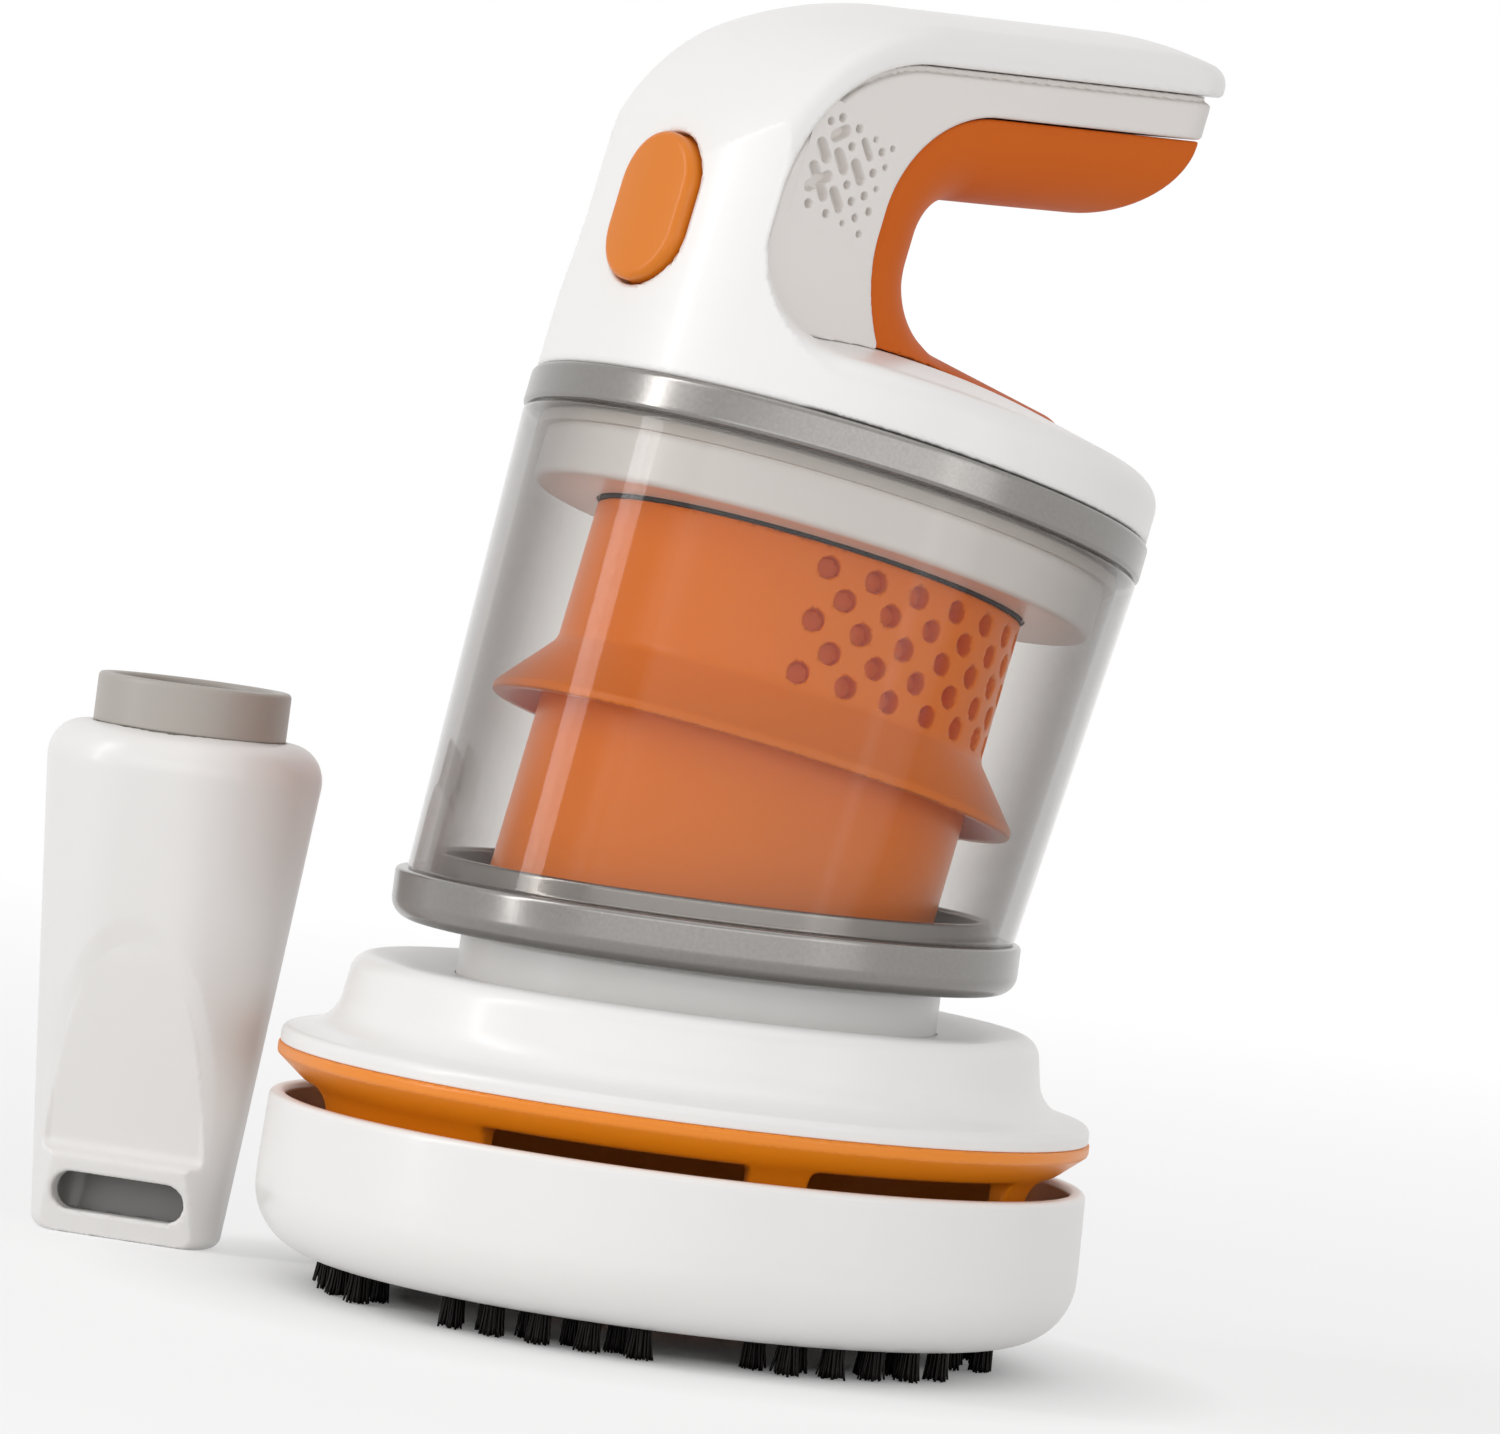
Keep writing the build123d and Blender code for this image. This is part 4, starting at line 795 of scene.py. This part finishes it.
def dust_cup():
    """Clear cup: a loop round the wall's section is carried round the axis. A point at height share s and
    wall depth w has z = (1 - s) foot + s top, where the foot follows the level cut, and radius R(z) - w."""
    steps = len(cup_rise_shares)
    share = np.concatenate([cup_rise_shares, [1, 1], cup_rise_shares[::-1], [0, 0]])
    ends = [cup_edge, cup_wall - cup_edge]
    depth = np.concatenate([np.zeros(steps), ends, np.full(steps, cup_wall), ends[::-1]])
    turn = np.linspace(0, 2 * np.pi, turn_count, endpoint=False)[:, None]
    foot_radius = cup_foot_radius - depth
    foot = cup_z + cup_seat + np.tan(lean) * foot_radius * np.sin(turn)
    height = foot * (1 - share) + (ring_z - cup_top_gap) * share
    radius = cup_foot_radius + cup_flare * (height - cup_z) / cup_height - depth
    points = np.stack([radius * np.cos(turn), radius * np.sin(turn), height], -1).reshape(-1, 3)
    faces = mesh_grid(turn_count, len(share))
    put("dust_cup_skin", points, faces, cup_clear, "cup", ("dust_cup",), None, True)


def vent_patch(side):
    """Patch of a side panel: a flat grid in y and z, sunk where it is inside a bar or a dot. A bar's distance
    is that to its middle line, less half its width."""
    half_y, half_z = vent_half_y + patch_overlap, vent_half_z + patch_overlap
    lines = [np.arange(-half, half + 0.01, patch_step) for half in (half_y, half_z)]
    y, z = np.meshgrid(*lines, indexing="ij")
    bar_y, bar_z, turn_deg, length, width = vent_bars.T
    dot_y, dot_z, dot_radius = vent_dots.T
    turn = np.radians(turn_deg)
    dy, dz = y[..., None] - bar_y, z[..., None] - bar_z
    along = np.abs(dy * np.cos(turn) + dz * np.sin(turn)) - (length - width) / 2
    across = dz * np.cos(turn) - dy * np.sin(turn)
    bars = (np.hypot(np.maximum(along, 0), across) - width / 2).min(-1)
    dots = (np.hypot(y[..., None] - dot_y, z[..., None] - dot_z) - dot_radius).min(-1)
    inside = np.clip(0.5 - np.minimum(bars, dots) / vent_slope, 0, 1)
    sunk = vent_depth * inside * inside * (3 - 2 * inside)
    points = np.stack([side * (core_half + patch_lift - sunk), vent_y + y, vent_z + z], -1).reshape(-1, 3)
    quads = mesh_grid(*y.shape, False, False)
    quads = quads if side > 0 else quads[:, ::-1]
    name = "vents_right" if side > 0 else "vents_left"
    put(name, points, quads, pale_panel, "housing", (), None, True)


def strip_backing(middle):
    """Backing of a brush strip: a rounded section carried along an arc, closing to a point at each end."""
    near, far = strip_radius - strip_half_width, strip_radius + strip_half_width
    plan = [(near, strip_low_z), (far, strip_low_z), (far, strip_high_z), (near, strip_high_z)]
    section = rounded([(*corner, strip_corner) for corner in plan])
    sweep = np.concatenate([[-1], np.linspace(-1, 1, strip_steps), [1]])[:, None]
    turn = middle + np.radians(strip_half_deg) * sweep
    open_share = np.concatenate([[0], np.ones(strip_steps), [0]])[:, None]
    radius = strip_radius + (section[:, 0] - strip_radius) * open_share
    height = strip_middle_z + (section[:, 1] - strip_middle_z) * open_share
    points = np.stack([radius * np.sin(turn), -radius * np.cos(turn), height], -1).reshape(-1, 3)
    return points, mesh_grid(strip_steps + 2, len(section), False)[:, ::-1]


def strand_roots(middle):
    """Feet of a strip's strands and how they lean: two staggered rows of tufts, each a sunflower spiral whose
    strands lean out by their distance from its middle."""
    row, place = np.repeat([0, 1], tufts_per_row), np.tile(np.arange(tufts_per_row), 2)
    share = (place + row / 2) / (tufts_per_row - 0.5) - 0.5
    angle = middle + share * tuft_span_share * np.radians(2 * strip_half_deg)
    radius = strip_radius + (row - 0.5) * tuft_row_gap
    seat = np.stack([radius * np.sin(angle), -radius * np.cos(angle)], -1)[:, None]
    step = np.arange(strands)
    spin = np.stack([np.cos(golden_turn * step), np.sin(golden_turn * step)], -1)
    spiral = np.sqrt((step + 0.5) / strands)[:, None] * spin
    root = seat + tuft_radius * spiral
    reach = np.broadcast_to(strand_lean * spiral, root.shape)
    return root.reshape(-1, 1, 1, 2), reach.reshape(-1, 1, 1, 2)


def strip_strands(middle, chance):
    """Strands of a brush strip: tapered prisms of four rings that end near the floor."""
    root, reach = strand_roots(middle)
    count, rings = len(root), len(strand_falls)
    reach = reach * chance.uniform(lean_low, lean_high, (count, 1, 1, 1))
    reach = reach + chance.normal(0, strand_scatter, (count, 1, 1, 2))
    fall = strand_falls[None, :, None, None]
    turn = np.linspace(0, 2 * np.pi, strand_sides, endpoint=False) + chance.uniform(0, 2, (count, 1, 1))
    width = strand_width - strand_taper * fall
    plan = root + reach * fall**strand_bend + width * np.stack([np.cos(turn), np.sin(turn)], -1)
    tip = chance.uniform(0.0, strand_short, (count, 1, 1, 1))
    drop = np.broadcast_to(strand_root_z - (strand_root_z - tip) * fall, plan.shape[:3] + (1,))
    points = np.concatenate([plan, drop], -1).reshape(-1, 3)
    end = rings * strand_sides - 1 - np.arange(strand_sides)
    single = np.concatenate([mesh_grid(rings, strand_sides, False)[:, ::-1], [end]])
    first = rings * strand_sides * np.arange(count)[:, None, None]
    return points, (single[None] + first).reshape(-1, 4)


def brush_strip(index):
    """Black strip: a backing and the strands of its ten tufts."""
    chance = np.random.default_rng(40 + index)
    middle = np.radians(60 * index + 30)
    backing, backing_faces = strip_backing(middle)
    strand, strand_faces = strip_strands(middle, chance)
    points = np.concatenate([backing, strand])
    faces = np.concatenate([backing_faces, strand_faces + len(backing)])
    node = f"brush_strip_{index + 1}"
    put(f"brush_tufts_{index + 1}", points, faces, bristle_black, "head", (node,))


# Turned pieces: (radius, height, rounding) corners
belly_z = bumper_z + 10.285
lathe(
    "bumper",
    [
        (15, bumper_z, 1.0), (49.1, bumper_z, 8.02), (49.1, belly_z, 30), (48.8, bumper_top_z, 0.8),
        (46.8, bumper_top_z, 0.8), (47.1, belly_z, 0.3), (47.1, bumper_floor_z, 3.5),
        (15, bumper_floor_z, 1.0),
    ],
    white_gloss, "head",
)
lathe(
    "head_cover",
    [
        (28.82, 36.7, 0.2), (28.82, 38.9, 0.3), (40.8, cover_top_z, 2.6), (42.2, lip_z + 3.4, 4.6),
        (48.3, lip_z + 1.9, 1.0), (48.3, lip_z, 0.2), (42.2, lip_z, 0.2), (38.6, 38.0, 1.3),
    ],
    white_gloss, "head",
)
lathe(
    "head_neck",
    [
        (26.3, 34.85, 0.2), (35.5, 34.85, 0.2), (35.5, 36.65, 0.2), (28.7, 36.65, 0.2), (28.7, 44.2, 0.6),
        (11.75, 44.2, 0.2), (11.75, 57.2, 0.6), (9.9, 57.2, 0.6), (9.9, 41.8, 0.2), (26.3, 41.8, 0.2),
    ],
    white_gloss, "head",
)
lathe(
    "cup_base",
    [
        (13.92, base_z, 0.2), (37.4, base_z, 2.5), (37.4, cup_z, 0.5), (33.5, cup_z, 0.2), (33.5, 52.9, 0.4),
        (32.1, 52.9, 0.4), (32.1, cup_floor_z, 0.2), (13.92, cup_floor_z, 0.2),
    ],
    silver, "cup",
)
lathe(
    "trim_ring",
    [
        (34.62, ring_z, 0.2), (38.2, ring_z, 0.6), (38.2, tower_z, 0.6), (35.6, tower_z, 0.2),
        (35.6, 102.3, 0.2), (34.62, 102.3, 0.2),
    ],
    silver, "housing", True,
)
lathe(
    "filter_collar",
    [
        (15.5, collar_z, 0.3), (26.5, collar_z, 0.1), (26.5, collar_lip_z, 0.1), (34.5, collar_lip_z, 0.8),
        (34.5, 102.3, 0.2), (35.48, 102.3, 0.2), (35.48, 104, 0.2), (32.9, 104, 0.2), (32.9, 95.7, 0.3),
        (15.5, 95.7, 0.3),
    ],
    white_gloss, "housing", True,
)
lathe(
    "nozzle_collar",
    [
        (9.9, 59, 0.2), (11.35, 59, 0.2), (11.35, 62, 0.2), (11.75, 62, 0.2), (11.75, 68, 0.6),
        (9.9, 68, 0.6),
    ],
    grey_plastic, "nozzle", False, nozzle_place,
)

# Carved pieces: the field, the corners of its grid, the grid's step, the finish, the body and whether it is
# drawn upright
carve(
    "front_shell", front_shell, (-39, -39, 105), (39, 39, 172), 0.55,
    white_gloss, "housing", True,
)
carve("neck_core", neck_core, (-18, -35, 108), (18, 31, 168), 0.5, pale_panel, "housing", True)
carve("grip", grip, (-17, -20, 108), (17, 30, 162), 0.36, orange_soft, "housing", True)
carve(
    "power_button", power_button, (-8.5, -40, 113.5), (8.5, -33, 137.5), 0.3,
    button_orange, "button", True,
)
carve(
    "cyclone_core", cyclone_core, (-33, -33, 44), (33, 33, 94), 0.5,
    orange_gloss, "housing", True,
)
carve(
    "slot_ring", slot_ring, (-49.5, -49.5, 5.5), (49.5, 49.5, 29), 0.55,
    orange_ring, "head",
)
carve(
    "nozzle_body", nozzle_body, (-80, -59, -1), (-36, -15, 63), 0.5,
    nozzle_white, "nozzle",
)
dust_cup()
vent_patch(1)
vent_patch(-1)
for strip in range(6):
    brush_strip(strip)

# The remaining CAD nodes keep their shape and get their finishes
for node, finish in {
    "inlet_duct": grey_plastic, "cup_seal": pale_rubber, "gasket": black_rubber, "neck_seal": black_rubber,
    "fine_filter": filter_paper, "motor": steel, "motor_shaft": steel, "motor_screws": steel,
    "head_screws": steel, "motor_mount": dark_plastic, "impeller": dark_plastic, "switch": dark_plastic,
    "charging_port": dark_plastic, "circuit_board": board_green, "battery_cell": cell_wrap,
    "bumper": white_gloss, "head_cover": white_gloss, "head_neck": white_gloss, "filter_collar": white_gloss,
    "front_shell": white_gloss, "nozzle_body": white_gloss, "neck_core": pale_panel, "grip": orange_soft,
    "power_button": button_orange, "slot_ring": orange_ring, "cyclone_core": orange_gloss, "cup_base": silver,
    "trim_ring": silver, "dust_cup": cup_clear, "nozzle_collar": grey_plastic,
    **{f"brush_strip_{k}": bristle_black for k in range(1, 7)},
}.items():
    for material_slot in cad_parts[node].material_slots:
        material_slot.material = finish


# Floor, light and camera


def floor_finish():
    """Paper that is white to the eye less the object's shadow, and whiter away from the object."""
    sheet = new_sheet("pale_floor")
    place = sheet.node("ShaderNodeTexCoord", output="Object")
    away = sheet.node("ShaderNodeVectorMath", {"operation": "LENGTH"}, {0: place}, output="Value")
    near = sheet.node("ShaderNodeMapRange", {}, {"Value": away, "From Min": near_from, "From Max": near_to})
    far = sheet.node("ShaderNodeMapRange", {}, {"Value": away, "From Min": far_from, "From Max": far_to})
    paper = sheet.node("ShaderNodeBsdfDiffuse", {}, {"Color": srgb(238, 238, 238)})
    glow = sheet.node("ShaderNodeEmission", {}, {"Color": (1, 1, 1, 1), "Strength": 1.0})
    white_share = (near_share * near + far_share * far) * sheet.seen_ray()
    return sheet.close(sheet.mix(white_share, paper, glow))


def add_floor():
    """Pale floor that bends up into a backdrop behind the object: a flat run, a quarter turn and a wall,
    carried sideways, on a grid turned to face the camera."""
    turn = np.linspace(0, np.pi / 2, 24)
    end = floor_reach + floor_bend
    depth = np.concatenate([[floor_front, 0], floor_reach + floor_bend * np.sin(turn), [end]])
    height = np.concatenate([[0, 0], floor_bend - floor_bend * np.cos(turn), [floor_wall]])
    side = np.linspace(-floor_half, floor_half, 3)
    look = np.radians(camera_azimuth)
    ahead, right = np.array([-np.sin(look), np.cos(look)]), np.array([np.cos(look), np.sin(look)])
    plan = depth[:, None, None] * ahead + side[None, :, None] * right
    points = np.concatenate([plan, np.broadcast_to(height[:, None, None], plan.shape[:2] + (1,))], -1)
    quads = mesh_grid(*plan.shape[:2], False, False)[:, ::-1]
    mesh = bpy.data.meshes.new("pale_floor")
    mesh.from_pydata(points.reshape(-1, 3).tolist(), [], quads.tolist())
    mesh.polygons.foreach_set("use_smooth", np.ones(len(quads), dtype=bool))
    mesh.materials.append(floor_finish())
    floor = bpy.data.objects.new("pale_floor", mesh)
    bpy.context.scene.collection.objects.link(floor)


def add_world(strength):
    """White to the eye, and a plain pale light of that strength for the object."""
    sheet = Finish(bpy.data.worlds.new("studio"))
    light = sheet.node("ShaderNodeBackground", {}, {"Color": (1, 1, 1, 1), "Strength": strength})
    white = sheet.node("ShaderNodeBackground", {}, {"Color": (1, 1, 1, 1), "Strength": 1.0})
    bpy.context.scene.world = sheet.close(sheet.mix(sheet.seen_ray(), light, white), "ShaderNodeOutputWorld")


def add_lamp(name, azimuth, elevation, distance, width, height, power):
    """Soft rectangular lamp that faces the object."""
    lamp = bpy.data.lights.new(name, "AREA")
    lamp.shape = "RECTANGLE"
    lamp.size, lamp.size_y, lamp.energy = width, height, power
    piece = bpy.data.objects.new(name, lamp)
    a, e = np.radians(azimuth), np.radians(elevation)
    back = np.array([np.sin(a) * np.cos(e), -np.cos(a) * np.cos(e), np.sin(e)])
    right = np.array([np.cos(a), np.sin(a), 0])
    frame_axes = np.stack([right, np.cross(back, right), back, lamp_target + distance * back], -1)
    piece.matrix_world = Matrix(frame_axes.tolist() + [[0, 0, 0, 1]])
    bpy.context.scene.collection.objects.link(piece)


def add_camera(azimuth, distance, height, yaw, pitch, roll, lens):
    """Camera at an azimuth and height: its axis is turned by yaw and pitch, then its frame rolls about it."""
    view = bpy.data.cameras.new("camera")
    view.lens, view.sensor_width, view.clip_start = lens, 36.0, 0.01
    piece = bpy.data.objects.new("camera", view)
    a, w, e, r = np.radians([azimuth, yaw, pitch, roll])
    back, right, up = np.array([[np.sin(a), -np.cos(a), 0], [np.cos(a), np.sin(a), 0], [0, 0, 1]])
    axis = (back * np.cos(w) + right * np.sin(w)) * np.cos(e) + up * np.sin(e)
    side = np.cross(up, axis)
    side = side / np.linalg.norm(side)
    top = np.cross(axis, side)
    along, over = np.cos(r) * side + np.sin(r) * top, np.cos(r) * top - np.sin(r) * side
    place = distance * back + height * up
    piece.matrix_world = Matrix(np.stack([along, over, axis, place], -1).tolist() + [[0, 0, 0, 1]])
    bpy.context.scene.collection.objects.link(piece)
    bpy.context.scene.camera = piece


camera_azimuth = 51.37
add_floor()

# Lamps: azimuth, elevation, distance, width, height and power
add_lamp("key", -15, 35, 0.8, 0.3, 0.4, 0.4)
add_lamp("strip", -22, 18, 0.8, 0.07, 0.8, 1.7)
add_lamp("front", 50, 8, 1.0, 2.0, 0.44, 2.7)
add_lamp("fill", 100, 12, 0.9, 0.3, 0.8, 0.8)
add_lamp("over", 60, 80, 0.9, 0.8, 0.8, 0.9)

add_camera(camera_azimuth, distance=1.017, height=0.10664, yaw=-0.11, pitch=1.88, roll=7.48, lens=206.0)
add_world(0.5)
bpy.context.scene.view_settings.view_transform = "Standard"
